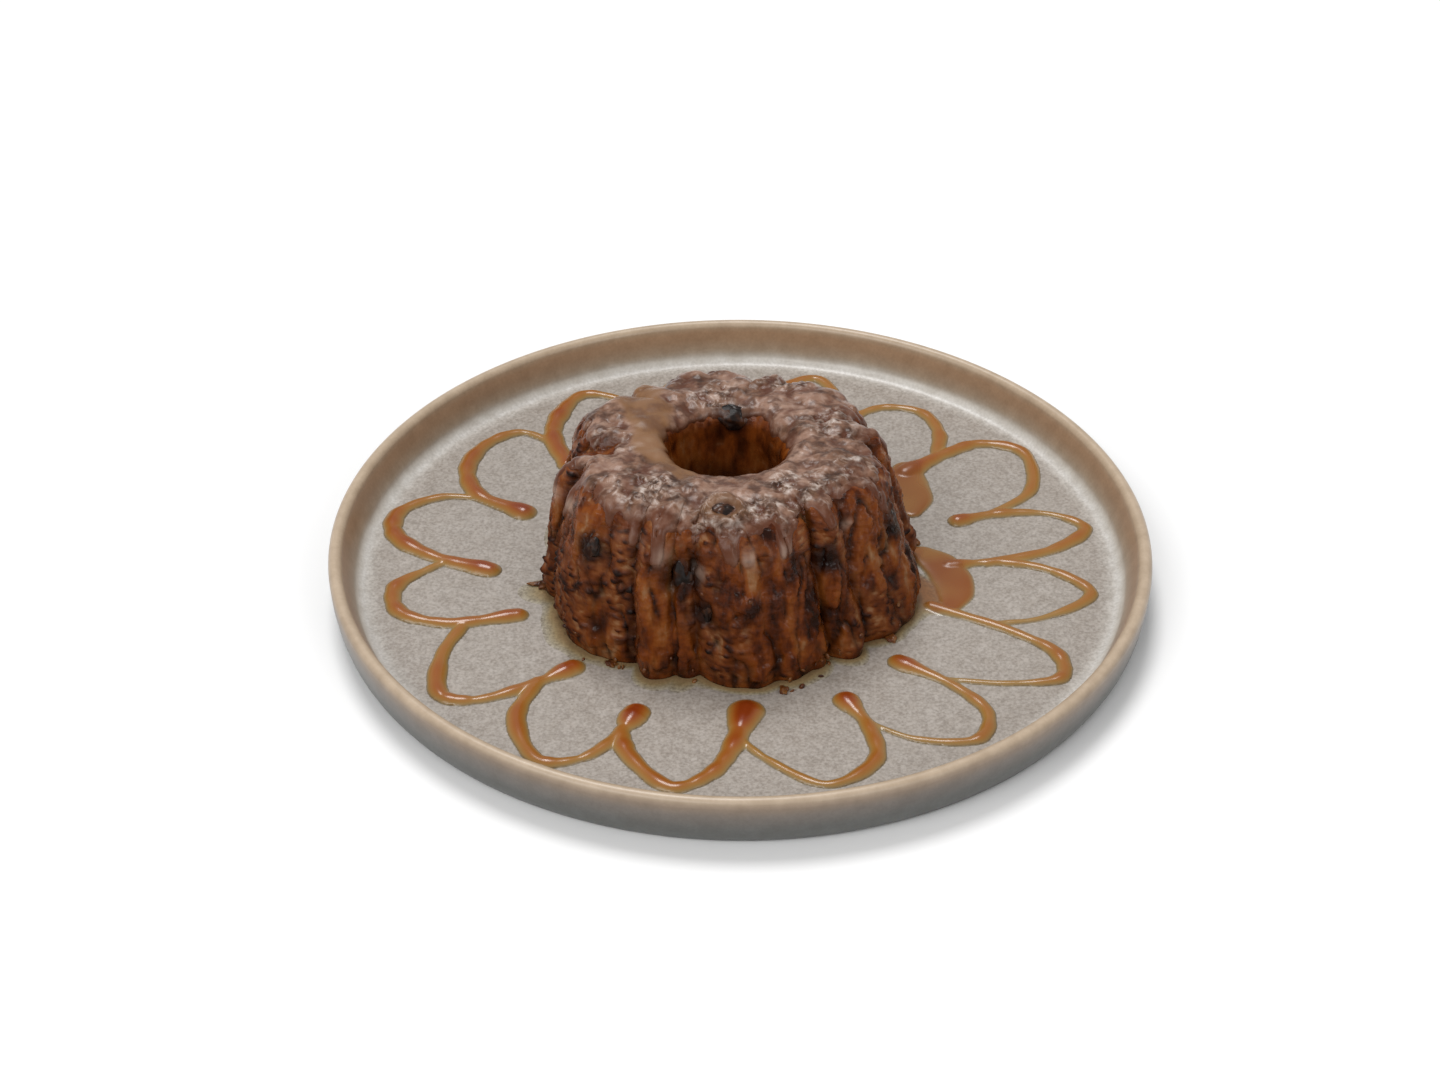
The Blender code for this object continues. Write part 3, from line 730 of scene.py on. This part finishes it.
def glaze_inset(degrees, along):
    """Distance in millimetres inside the glaze's edge, and how far each place lies below that edge."""
    below = along[:, None] - ragged_edge(degrees, *OUTER_EDGE)[None]
    inset = -below
    for place, length, width, wander in RUNS:
        across = turn_from(degrees, place) * CAKE_FOOT_RADIUS * math.pi / 180
        bent = across[None] - wander * np.sin(below / RUN_WAVE)
        narrow = width / 2 * (1 - RUN_TAPER * np.clip(below / length, 0, 1))
        run = narrow - np.hypot(bent, np.maximum(below - length, 0))
        run = np.where(below > -RUN_ABOVE, run, -9.0)
        blend = np.clip(0.5 + 0.5 * (run - inset) / RUN_BLEND, 0, 1)
        inset = inset * (1 - blend) + run * blend + RUN_BLEND * blend * (1 - blend)
    return np.minimum(inset, along[:, None] + ragged_edge(degrees, *INNER_EDGE)[None]), below


def sheen_share(degrees, along):
    """How strongly the painted sheen, a painted highlight, lightens each place of a grid, from 0 to 1."""
    streaks = smoothstep(0.62 + 1.5 * field(level_ways(degrees) * SHOULDER_RADIUS, SHEEN_STREAK, 71))[None]
    share = np.zeros((len(along), len(degrees)))
    for place, level, half_width, half_height in SHEEN:
        across = turn_from(degrees, place) * SHOULDER_RADIUS * math.pi / 180
        row = np.argmin(np.hypot(SEAT_RADIUS - SHOULDER_RADIUS, SEAT_HEIGHT - level))
        away = np.hypot(across[None] / half_width, (along[:, None] - SEAT_ALONG[row]) / half_height)
        share = np.maximum(share, np.exp(-away ** 2))
    return share * streaks


def relief_tree():
    """Soaked crumb where the cake is bare: lumps, and torn flat pores in patches of it."""
    tree, given, out = geometry_tree("crumb_relief", (
        ("Lump Size", 0.0034), ("Lump Height", 0.00035), ("Grain Size", 0.0015), ("Grain Height", 0.00016),
        ("Pore Size", 0.0021), ("Pore Depth", 0.0011), ("Patch Size", 0.017), ("Seed", 4)))
    place = add(tree, "InputPosition")

    def cloud(size, stretch, detail, shift):
        seed = add(tree, "Math", (given["Seed"], shift), operation="ADD")
        flat = add(tree, "VectorMath", (place, stretch), operation="MULTIPLY")
        scale = add(tree, "Math", (1.0, given[size]), operation="DIVIDE")
        found = add(tree, "TexNoise", {"Vector": flat, "W": seed, "Scale": scale,
                    "Detail": detail, "Roughness": 0.5}, noise_dimensions="4D")
        return add(tree, "MapRange", {"Value": found, "From Min": 0.28, "From Max": 0.72,
                   "To Min": -1.0, "To Max": 1.0}, interpolation_type="SMOOTHSTEP")

    bare = add(tree, "InputNamedAttribute", {"Name": "bare"}, data_type="FLOAT")
    holes = add(tree, "MapRange", {"Value": cloud("Patch Size", (1.0, 1.0, 0.7), 1.0, 13.0),
                "From Min": -0.35, "From Max": 0.35})
    torn = add(tree, "Math", (holes, bare), operation="MULTIPLY")
    scale = add(tree, "Math", (1.0, given["Pore Size"]), operation="DIVIDE")
    flat = add(tree, "VectorMath", (place, (0.75, 0.75, 1.7)), operation="MULTIPLY")
    cell = add(tree, "TexVoronoi", {"Vector": flat, "W": given["Seed"], "Scale": scale},
               voronoi_dimensions="4D", feature="SMOOTH_F1")
    pore = add(tree, "MapRange", {"Value": cell, "From Min": 0.1, "From Max": 0.5,
               "To Min": -1.0, "To Max": 0.0}, interpolation_type="SMOOTHSTEP")
    lumps, grains, pores = [
        add(tree, "Math", (shape, given[height]), operation="MULTIPLY")
        for shape, height in ((cloud("Lump Size", (1.0, 1.0, 1.2), 2.0, 5.0), "Lump Height"),
                              (cloud("Grain Size", (1.0, 1.0, 1.9), 1.0, 9.0), "Grain Height"),
                              (pore, "Pore Depth"))]
    pores = add(tree, "Math", (pores, torn), operation="MULTIPLY")
    crumb = add(tree, "Math", (lumps, grains), operation="ADD")
    total = add(tree, "Math", (crumb, pores), operation="ADD")
    lift = add(tree, "Math", (total, bare), operation="MULTIPLY")
    normal = add(tree, "InputNormal")
    offset = add(tree, "VectorMath", {0: normal, "Scale": lift}, operation="SCALE")
    kept = given["Geometry"]
    for name, value in (("relief", total), ("torn", torn)):
        kept = add(tree, "StoreNamedAttribute", {"Geometry": kept, "Name": name,
                   "Value": value}, data_type="FLOAT", domain="POINT")
    moved = add(tree, "SetPosition", {"Geometry": kept, "Offset": offset})
    real = add(tree, "RealizeInstances", {"Geometry": moved})
    done = add(tree, "SetMaterial", {"Geometry": real, "Material": sponge_material()})
    tree.links.new(done, out)
    return tree


def sponge_material():
    """Date sponge soaked in syrup: golden in torn crumb, amber on its ridges, near black in its crevices
    from painted shade.
    """
    made, tree, shader, place, read = new_material(
        "soaked_date_sponge", ("relief", "torn", "ridge", "stain", "sheen"))
    # Painted shade and light: the torn crumb's colour follows its relief, near black in the pores and
    # lighter on the lumps' tops.
    share = add(tree, "MapRange", {"Value": read["relief"], "From Min": -0.001, "From Max": 0.0004})
    crumb = add(tree, "ValToRGB", {"Fac": share}, stops=(
        (0.0, "#140602"), (0.35, "#361506"), (0.62, "#622F10"), (0.82, "#794420"), (1.0, "#946A48")))
    upright = add(tree, "VectorMath", (place, (1.0, 1.0, 0.4)), operation="MULTIPLY")
    cloud = add(tree, "TexNoise", {"Vector": upright, "Scale": 205.0, "Detail": 4.5})
    color = add(tree, "ValToRGB", {"Fac": cloud}, stops=(
        (0.34, "#270E04"), (0.43, "#4F220A"), (0.53, "#723710"), (0.63, "#82481C"), (0.73, "#926A48")))
    # Painted shade: the crevices between the ridges are darkened towards near black.
    low = add(tree, "MapRange", {"Value": read["ridge"], "From Min": 0.2, "From Max": 0.85,
              "To Min": 0.9, "To Max": 0.0})
    # Painted highlight: the sheen attribute lightens the sponge towards pale pink.
    painted_highlight = add(tree, "Math", (read["sheen"], 0.7), operation="MULTIPLY")
    # Darkening by the stain attribute: the dates' stain and the painted shade of the grooves and the low
    # hole.
    dark = add(tree, "Math", (read["stain"], 0.85), operation="MULTIPLY")
    for factor, layer in ((read["torn"], crumb), (low, linear("#1C0902")), (painted_highlight, linear("#A88E7E")),
                          (dark, linear("#120705"))):
        color = add(tree, "Mix", {"Factor": factor, "A": color, "B": layer}, data_type="RGBA")
    grain = add(tree, "TexNoise", {"Vector": place, "Scale": 800.0, "Detail": 2.0})
    bump = add(tree, "Bump", {"Height": grain, "Strength": 0.4, "Distance": 0.0004})
    gloss = add(tree, "MapRange", {"Value": read["torn"], "To Min": 0.22, "To Max": 0.42})
    feed(tree, shader, {"Base Color": color, "Normal": bump, "Roughness": gloss, "IOR": 1.42,
                        "Specular IOR Level": 0.21})
    return made


def pit_gap(points):
    """How far each place of the surface lies outside the empty pits, where the glaze has broken away."""
    gap = np.full(points.shape[:-1], 99.0)
    for degrees, radius, height, half_width, lift in DATES:
        if lift < EMPTY_PIT:
            middle = date_seat(degrees, radius, height)[0]
            away = np.linalg.norm((points - middle) * PIT_STRETCH, axis=-1)
            gap = np.minimum(gap, away - half_width * 0.8 + 2.0 * field(points, 2.4, 51))
    return gap


def date_stain(points):
    """How near each place of the surface lies to a date or a filled pit, from 0 to 1."""
    stain = np.zeros(points.shape[:-1])
    for number, (degrees, radius, height, half_width, lift) in enumerate(DATES):
        if lift >= EMPTY_PIT:
            reach = half_width * (0.7 if number == RING_DATE else 1.2)
            away = np.linalg.norm(points - date_seat(degrees, radius, height)[0], axis=-1)
            stain = np.maximum(stain, np.exp(-(away / reach) ** 4))
    return stain


def crevice_share(degrees):
    """How deep each direction lies in a groove between the lobes and ribs, from 0 to 1."""
    reach = np.arange(-CREVICE_REACH, CREVICE_REACH + 1.0)
    around = np.mean([foot_radius(degrees + step) for step in reach], axis=0)
    return smoothstep((around - foot_radius(degrees)) / CREVICE_DEPTH)


def build_sponge():
    """Fluted sponge: fine rows down its side, coarser ones where the glaze or the plate hides it."""
    radius, height, along = cake_section(SPONGE_ROWS)
    floor_radius = np.linspace(radius[-1], radius[0], 6)[1:-1]
    radius = np.concatenate([radius, floor_radius])
    height = np.concatenate([height, np.full(len(floor_radius), height[0])])
    along = np.concatenate([along, np.full(len(floor_radius), along[-1])])
    points, degrees, top = ridged_surface(radius, height, along, SPONGE_COLUMNS)
    inset = np.minimum(glaze_inset(degrees, along)[0], pit_gap(points))
    bare = smoothstep(0.6 - inset / 1.5) * (1 - 0.75 * smoothstep((-along - 13.0) / 4.0))[:, None]
    bare *= smoothstep((height - 0.6) / 2.5)[:, None]
    # Painted shade in the grooves between the lobes and ribs, unevenly dark.
    groove = crevice_share(degrees)[None] * (smoothstep(height / 4.0) * (along > 0))[:, None]
    groove = CREVICE_SHADE * groove * (0.7 + 0.6 * field(points, 6.0, 61))
    # Painted shade, darker deeper down the hole.
    deep = HOLE_SHADE * smoothstep((HOLE_SHADE_TOP - height) / HOLE_SHADE_FADE) * (along < 0)
    # The stain attribute holds the dates' stain together with the painted shade of the grooves and the low
    # hole.
    stain = np.maximum(np.maximum(date_stain(points), groove), deep[:, None])
    smooth = mesh_object("sponge_base", points.reshape(-1, 3), grid_faces(len(radius), SPONGE_COLUMNS, True),
                         {"bare": bare, "stain": stain, "ridge": top, "sheen": sheen_share(degrees, along)})
    sponge = baked(smooth, relief_tree(), {"Seed": 4}, "date_sponge")
    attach(sponge, "root")
    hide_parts("date_cake")


def glaze_material():
    """Creamy toffee glaze: cream-brown where thick, amber where thin and, as painted shade, in crevices;
    bumps and painted glints sparkle over crumb.
    """
    made, tree, shader, place, read = new_material(
        "toffee_glaze", ("below", "film", "crumbly", "ridge", "stain", "frost", "sheen"))
    cloud = add(tree, "TexNoise", {"Vector": place, "Scale": 130.0, "Detail": 4.0})
    color = add(tree, "ValToRGB", {"Fac": cloud}, stops=(
        (0.34, "#6B482F"), (0.46, "#7F5A3A"), (0.6, "#876245"), (0.72, "#8E6E52")))
    crumb = add(tree, "ValToRGB", {"Fac": cloud}, stops=(
        (0.36, "#5C3D2B"), (0.45, "#7D5944"), (0.55, "#957260"), (0.68, "#A48472")))
    speck = add(tree, "TexNoise", {"Vector": place, "Scale": 480.0, "Detail": 3.0, "Distortion": 0.8})
    # The frosty crust's pale grey-white specks are painted glints, laid over its real grainy bumps.
    crust_and_glints = add(tree, "ValToRGB", {"Fac": speck}, stops=(
        (0.37, "#45301F"), (0.46, "#735847"), (0.55, "#A89488"), (0.67, "#D6CCC4")))
    patchy = add(tree, "MapRange", {"Value": read["frost"], "To Min": 0.12, "To Max": 0.85})
    crust = add(tree, "Mix", {"Factor": patchy, "A": crumb, "B": crust_and_glints}, data_type="RGBA")
    grain = add(tree, "TexNoise", {"Vector": place, "Scale": 310.0, "Detail": 3.0})
    mottle = add(tree, "ValToRGB", {"Fac": grain}, stops=((0.38, "#927C6E"), (0.56, "#FFFFFF")))
    spotted = add(tree, "Mix", {"Factor": 0.85, "A": crust, "B": mottle}, data_type="RGBA",
                  blend_type="MULTIPLY")
    thin = add(tree, "MapRange", {"Value": read["film"], "From Min": 0.0, "From Max": 0.5,
               "To Min": 0.9, "To Max": 0.0})
    ragged = add(tree, "Math", (cloud, 14.0, -7.0), operation="MULTIPLY_ADD")
    lower = add(tree, "Math", (read["below"], ragged), operation="ADD")
    run = add(tree, "MapRange", {"Value": lower, "From Min": -3.3, "From Max": 3.0, "To Max": 0.92})
    # Painted shade: the glaze is darkened towards orange-brown in the crevices between the ridges, on top of
    # the real colour of its thin runs.
    low = add(tree, "MapRange", {"Value": read["ridge"], "From Min": 0.35, "From Max": 0.85,
              "To Min": 0.8, "To Max": 0.0})
    amber = add(tree, "Math", (run, low), operation="MAXIMUM")
    # Painted highlight: the sheen attribute lightens the glaze towards pale pink.
    painted_highlight = add(tree, "Math", (read["sheen"], 0.8), operation="MULTIPLY")
    dark = add(tree, "Math", (read["stain"], 0.6), operation="MULTIPLY")
    for factor, layer in ((read["crumbly"], spotted), (thin, linear("#54260C")), (amber, linear("#5A2D14")),
                          (painted_highlight, linear("#A88E7E")), (dark, linear("#2C150C"))):
        color = add(tree, "Mix", {"Factor": factor, "A": color, "B": layer}, data_type="RGBA")
    rough = add(tree, "MapRange", {"Value": read["frost"], "To Min": 0.1, "To Max": 0.7})
    bump = add(tree, "Bump", {"Height": speck, "Strength": rough, "Distance": 0.0007})
    satin = add(tree, "MapRange", {"Value": read["crumbly"], "To Min": 0.36, "To Max": 0.33})
    feed(tree, shader, {"Base Color": color, "Normal": bump, "Roughness": satin, "IOR": 1.45,
                        "Specular IOR Level": 0.36})
    return made


def top_plan(points):
    """Places of the cake's top seen from above, from the middle of its hole."""
    return points[..., :2] - np.array(CAKE_CENTRE) - np.array(CAKE_LEAN)


def flow_share(points):
    """How far inside the smooth flow of glaze each place lies: 1 along its middle, below 0 outside."""
    plan = top_plan(points)
    share = np.full(plan.shape[:-1], -2.0)
    for place, width in zip(*widening_path(FLOW, FLOW_STEPS)):
        share = np.maximum(share, 1 - np.linalg.norm(plan - place, axis=-1) / (width / 2))
    return share


def frost_share(points):
    """How frosty the crust is at each place, from 0 to 1, and so how strong its painted glints are."""
    plan = top_plan(points)
    share = np.zeros(plan.shape[:-1])
    for degrees, radius, reach in FROST:
        away = np.linalg.norm(plan - polar(degrees, radius), axis=-1)
        share = np.maximum(share, np.exp(-(away / reach) ** 4))
    return share * smoothstep(0.7 + 1.5 * field(points, 4.0, 27))


def build_glaze():
    """Glaze as a thin closed skin that dives under the crumb at its ragged edges and runs down."""
    radius, height, along = cake_section(GLAZE_ROWS)
    points, degrees, top = ridged_surface(radius, height, along, GLAZE_COLUMNS)
    normals = grid_normals(points)
    inset, below = glaze_inset(degrees, along)
    inset = np.minimum(inset, pit_gap(points))
    crumbly = 1 - smoothstep(0.5 + 1.6 * flow_share(points) + 0.9 * field(points, 6.0, 21))
    frost = crumbly * frost_share(points)
    smooth = field(points, 7.0, 5) * 0.3 + field(points, 4.2, 15) * 0.6 * crumbly
    torn = field(points, 2.4, 5) * 0.5 + field(points, 1.3, 9) * 0.5
    body = GLAZE_THICKNESS - GLAZE_THINNER * crumbly + smooth + torn * (0.04 + 0.3 * crumbly + 0.8 * frost)
    film = np.maximum(body, 0.08) * (1 - np.exp(-np.maximum(inset, 0) / GLAZE_EDGE_WIDTH))
    centre = date_seat(*DATES[RING_DATE][:3])[0]
    away = np.linalg.norm((points - centre) * RIM_STRETCH, axis=-1)
    film += RIM_HEIGHT * np.exp(-((away - RIM_RADIUS) / RIM_WIDTH) ** 2)
    film *= 1 - 0.95 * np.exp(-(away / RING_PIT) ** 4)
    crumbly *= 1 - 0.8 * np.exp(-(away / RIM_RADIUS) ** 4)
    low = smoothstep(below / 3)
    sunk = np.maximum(inset * 0.8, -GLAZE_DIVE) * (1.0 + 1.1 * low)
    thickness = np.where(inset > 0, film + 0.2 * low, sunk)
    skin = points + normals * thickness[..., None]
    backing = points[::BACKING_STEP] - normals[::BACKING_STEP] * BACKING_DEPTH
    values = {"below": below, "film": film, "crumbly": crumbly, "stain": date_stain(points), "ridge": top,
              "frost": frost, "sheen": sheen_share(degrees, along)}
    empty = np.zeros(backing.shape[:2])
    glaze = mesh_object("toffee_glaze", np.vstack([skin, backing[::-1]]).reshape(-1, 3),
                        grid_faces(len(skin) + len(backing), GLAZE_COLUMNS, True),
                        {key: np.vstack([numbers, empty]) for key, numbers in values.items()},
                        glaze_material())
    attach(glaze, "root")
    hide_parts("date_cake")


# Dates and crumbs

def date_material():
    """Cooked date: nearly black, wrinkled skin, glossy with syrup."""
    made, tree, shader, place, _ = new_material("cooked_date")
    cloud = add(tree, "TexNoise", {"Vector": place, "Scale": 330.0, "Detail": 2.0})
    color = add(tree, "ValToRGB", {"Fac": cloud}, stops=(
        (0.35, "#0E0807"), (0.52, "#21120C"), (0.7, "#4A2A18")))
    bump = add(tree, "Bump", {"Height": cloud, "Strength": 0.3, "Distance": 0.0006})
    feed(tree, shader, {"Base Color": color, "Normal": bump, "Roughness": 0.3, "IOR": 1.45,
                        "Specular IOR Level": 0.35})
    return made


def date_seat(place, reach, level):
    """Where a date sits in the crust: its middle, and the ways outward, up the side and across."""
    row = np.argmin(np.hypot(SEAT_RADIUS - reach, SEAT_HEIGHT - level))
    column = np.argmin(np.abs(turn_from(SEAT_DEGREES, place)))
    outward = SEAT_NORMALS[row, column]
    up = SEATS[max(row - SEAT_SPAN, 0), column] - SEATS[min(row + SEAT_SPAN, len(SEATS) - 1), column]
    up = up - outward * up.dot(outward)
    up = up / np.linalg.norm(up)
    return SEATS[row, column], outward, up, np.cross(up, outward)


def set_pieces(name, places, material):
    """Rounded pieces set into the crust: seat, sizes across, up and out, how deep, how crumpled, seed."""
    ball = bmesh.new()
    bmesh.ops.create_icosphere(ball, subdivisions=4, radius=1.0)
    unit = np.array([vertex.co[:] for vertex in ball.verts])
    triangles = np.array([[vertex.index for vertex in face.verts] for face in ball.faces])
    ball.free()
    every, faces = [], []
    for (middle, outward, up, across), sizes, sink, crumple, seed in places:
        crumpled = 1 + crumple * (field(unit * 10, 9.0, seed + 30) + 0.4 * field(unit * 10, 4.5, seed + 60))
        wide, tall, thick = (unit * crumpled[:, None] * sizes).T[..., None]
        faces.append(triangles + len(unit) * len(every))
        every.append(middle - outward * sink + across * wide + up * tall + outward * thick)
    return mesh_object(name, np.vstack(every), np.vstack(faces).tolist(), material=material)


def build_dates():
    """Pieces of date set deep into the crust, longer up the side than across."""
    places = []
    for number, (degrees, reach, level, half_width, lift) in enumerate(DATES):
        if lift < EMPTY_PIT:
            continue
        shares = DATE_ON_TOP if level > SHOULDER_HEIGHT else DATE_ON_SIDE
        if number == RING_DATE:
            shares = RING_CENTRE
        seat = date_seat(degrees, reach, level)
        places.append((seat, np.array(shares) * half_width, DATE_SINK, 0.4, number))
    dates = set_pieces("date_pieces", places, date_material())
    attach(dates, "root")
    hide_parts("date_cake")


def crumb_material():
    """Loose wet crumbs, golden to dark brown."""
    made, tree, shader, place, _ = new_material("wet_crumbs")
    cloud = add(tree, "TexNoise", {"Vector": place, "Scale": 300.0, "Detail": 2.0})
    color = add(tree, "ValToRGB", {"Fac": cloud}, stops=(
        (0.35, "#2E1206"), (0.5, "#5A2E10"), (0.68, "#7E5228")))
    feed(tree, shader, {"Base Color": color, "Roughness": 0.3, "IOR": 1.42})
    return made


def build_foot_crumbs():
    """Larger crumbs that broke away and lie against the cake's foot."""
    places = []
    upward = np.array((0.0, 0.0, 1.0))
    for number, (degrees, reach, half_length, half_width, half_height) in enumerate(FOOT_CRUMBS):
        spot = np.array((*(polar(degrees, reach) + CAKE_CENTRE), FLOOR_TOP + half_height / 2))
        outward = np.array((*polar(degrees, 1.0), 0.0))
        seat = (spot, upward, outward, np.cross(outward, upward))
        places.append((seat, np.array((half_width, half_length, half_height)), 0.0, 0.6, number + 80))
    crumbs = set_pieces("foot_crumbs", places, crumb_material())
    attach(crumbs, "root")
    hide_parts("date_cake")


def crumb_tree():
    """Scatters small irregular crumbs over a guide surface where its crumbs attribute allows."""
    tree, given, out = geometry_tree("crumb_scatter", (
        ("Crumb Size", 0.0009), ("Density", 60000.0), ("Seed", 3)))
    share = add(tree, "InputNamedAttribute", {"Name": "crumbs"}, data_type="FLOAT")
    density = add(tree, "Math", (share, given["Density"]), operation="MULTIPLY")
    spots = add(tree, "DistributePointsOnFaces", {"Mesh": given["Geometry"],
                "Density": density, "Seed": given["Seed"]}, distribute_method="RANDOM")
    ball = add(tree, "MeshIcoSphere", {"Radius": given["Crumb Size"], "Subdivisions": 2})
    turn = add(tree, "RandomValue", {"Max": (6.28, 6.28, 6.28), "Seed": given["Seed"]},
               data_type="FLOAT_VECTOR")
    stretch = add(tree, "RandomValue", {"Min": (0.3, 0.3, 0.25), "Max": (1.2, 1.1, 0.8),
                  "Seed": given["Seed"]}, data_type="FLOAT_VECTOR")
    placed = add(tree, "InstanceOnPoints", {"Points": spots, "Instance": ball,
                 "Rotation": turn, "Scale": stretch})
    real = add(tree, "RealizeInstances", {"Geometry": placed})
    smooth = add(tree, "SetShadeSmooth", {"Geometry": real})
    done = add(tree, "SetMaterial", {"Geometry": smooth, "Material": crumb_material()})
    tree.links.new(done, out)
    return tree


def build_crumbs():
    """Loose crumbs on the sponge's bare side and on the plate round its foot."""
    radius, height, along = cake_section(CRUMB_ROWS)
    side, degrees = cake_surface(radius, height, CRUMB_COLUMNS)
    side = side + grid_normals(side) * 0.2
    inset, _ = glaze_inset(degrees, along)
    bare = smoothstep(-0.5 - inset / 2.0) * (0.02 + 0.5 * smoothstep((9.0 - height) / 9.0))[:, None]
    gaps, shares = np.array(CRUMB_RINGS).T
    reach = foot_radius(degrees)[None] + gaps[:, None]
    rings = level_ways(degrees)[None] * reach[..., None] + (*CAKE_CENTRE, FLOOR_TOP + 0.15)
    fall = shares[:, None] * smoothstep(field(rings[1], 6.0, 17) * 3.0 + 0.4)[None]
    faces = grid_faces(len(radius), CRUMB_COLUMNS, False)
    start = side.shape[0] * CRUMB_COLUMNS
    faces += (np.array(grid_faces(len(gaps), CRUMB_COLUMNS, False)) + start).tolist()
    guide = mesh_object("crumb_guide", np.vstack([side.reshape(-1, 3), rings.reshape(-1, 3)]), faces,
                        {"crumbs": np.concatenate([bare.ravel(), fall.ravel() * 1.5])})
    crumbs = baked(guide, crumb_tree(), {"Seed": 3}, "loose_crumbs")
    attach(crumbs, "root")


# Setting

def build_stage():
    """Plain pale floor, soft light all round and large soft lamps."""
    made = bpy.data.materials.new("pale_floor")
    made.use_nodes = True
    feed(made.node_tree, made.node_tree.nodes["Principled BSDF"],
         {"Base Color": (0.93, 0.93, 0.93, 1.0), "Roughness": 0.9})
    half = FLOOR_HALF_SIDE
    corners = [(-half, -half, 0), (half, -half, 0), (half, half, 0), (-half, half, 0)]
    floor = mesh_object("floor", corners, [(0, 1, 2, 3)], material=made)
    floor.location.z = -FLOOR_BELOW * MM
    world = bpy.data.worlds.new("soft_light")
    world.use_nodes = True
    feed(world.node_tree, world.node_tree.nodes["Background"],
         {"Color": (1.0, 1.0, 1.0, 1.0), "Strength": WORLD_STRENGTH})
    bpy.context.scene.world = world
    for name, azimuth, elevation, softness, strength in LAMPS:
        lamp = bpy.data.lights.new(name, "SUN")
        lamp.angle = math.radians(softness)
        lamp.energy = strength
        link(name, lamp).rotation_euler = (0.0, math.radians(90 - elevation), math.radians(azimuth))


def build_camera():
    """Camera at the viewing angle of the real dish as served."""
    tilt = math.radians(CAMERA_ELEVATION)
    back = Vector((0.0, -math.cos(tilt), math.sin(tilt)))
    lens = bpy.data.cameras.new("camera")
    lens.lens = CAMERA_LENS
    lens.sensor_width = SENSOR_WIDTH
    lens.clip_start = 0.01
    camera = link("camera", lens)
    camera.location = (Vector(CAMERA_TARGET) + back * CAMERA_DISTANCE) * MM
    camera.rotation_euler = (-back).to_track_quat("-Z", "Y").to_euler()
    bpy.context.scene.camera = camera


SEAT_RADIUS, SEAT_HEIGHT, SEAT_ALONG = cake_section(SEAT_ROWS)
SEATS, SEAT_DEGREES, _ = ridged_surface(SEAT_RADIUS, SEAT_HEIGHT, SEAT_ALONG, SEAT_COLUMNS)
SEAT_NORMALS = grid_normals(SEATS)

build_camera()
build_stage()
build_plate()
build_caramel()
build_sponge()
build_glaze()
build_dates()
build_foot_crumbs()
build_crumbs()
bpy.context.scene.view_settings.view_transform = "Standard"
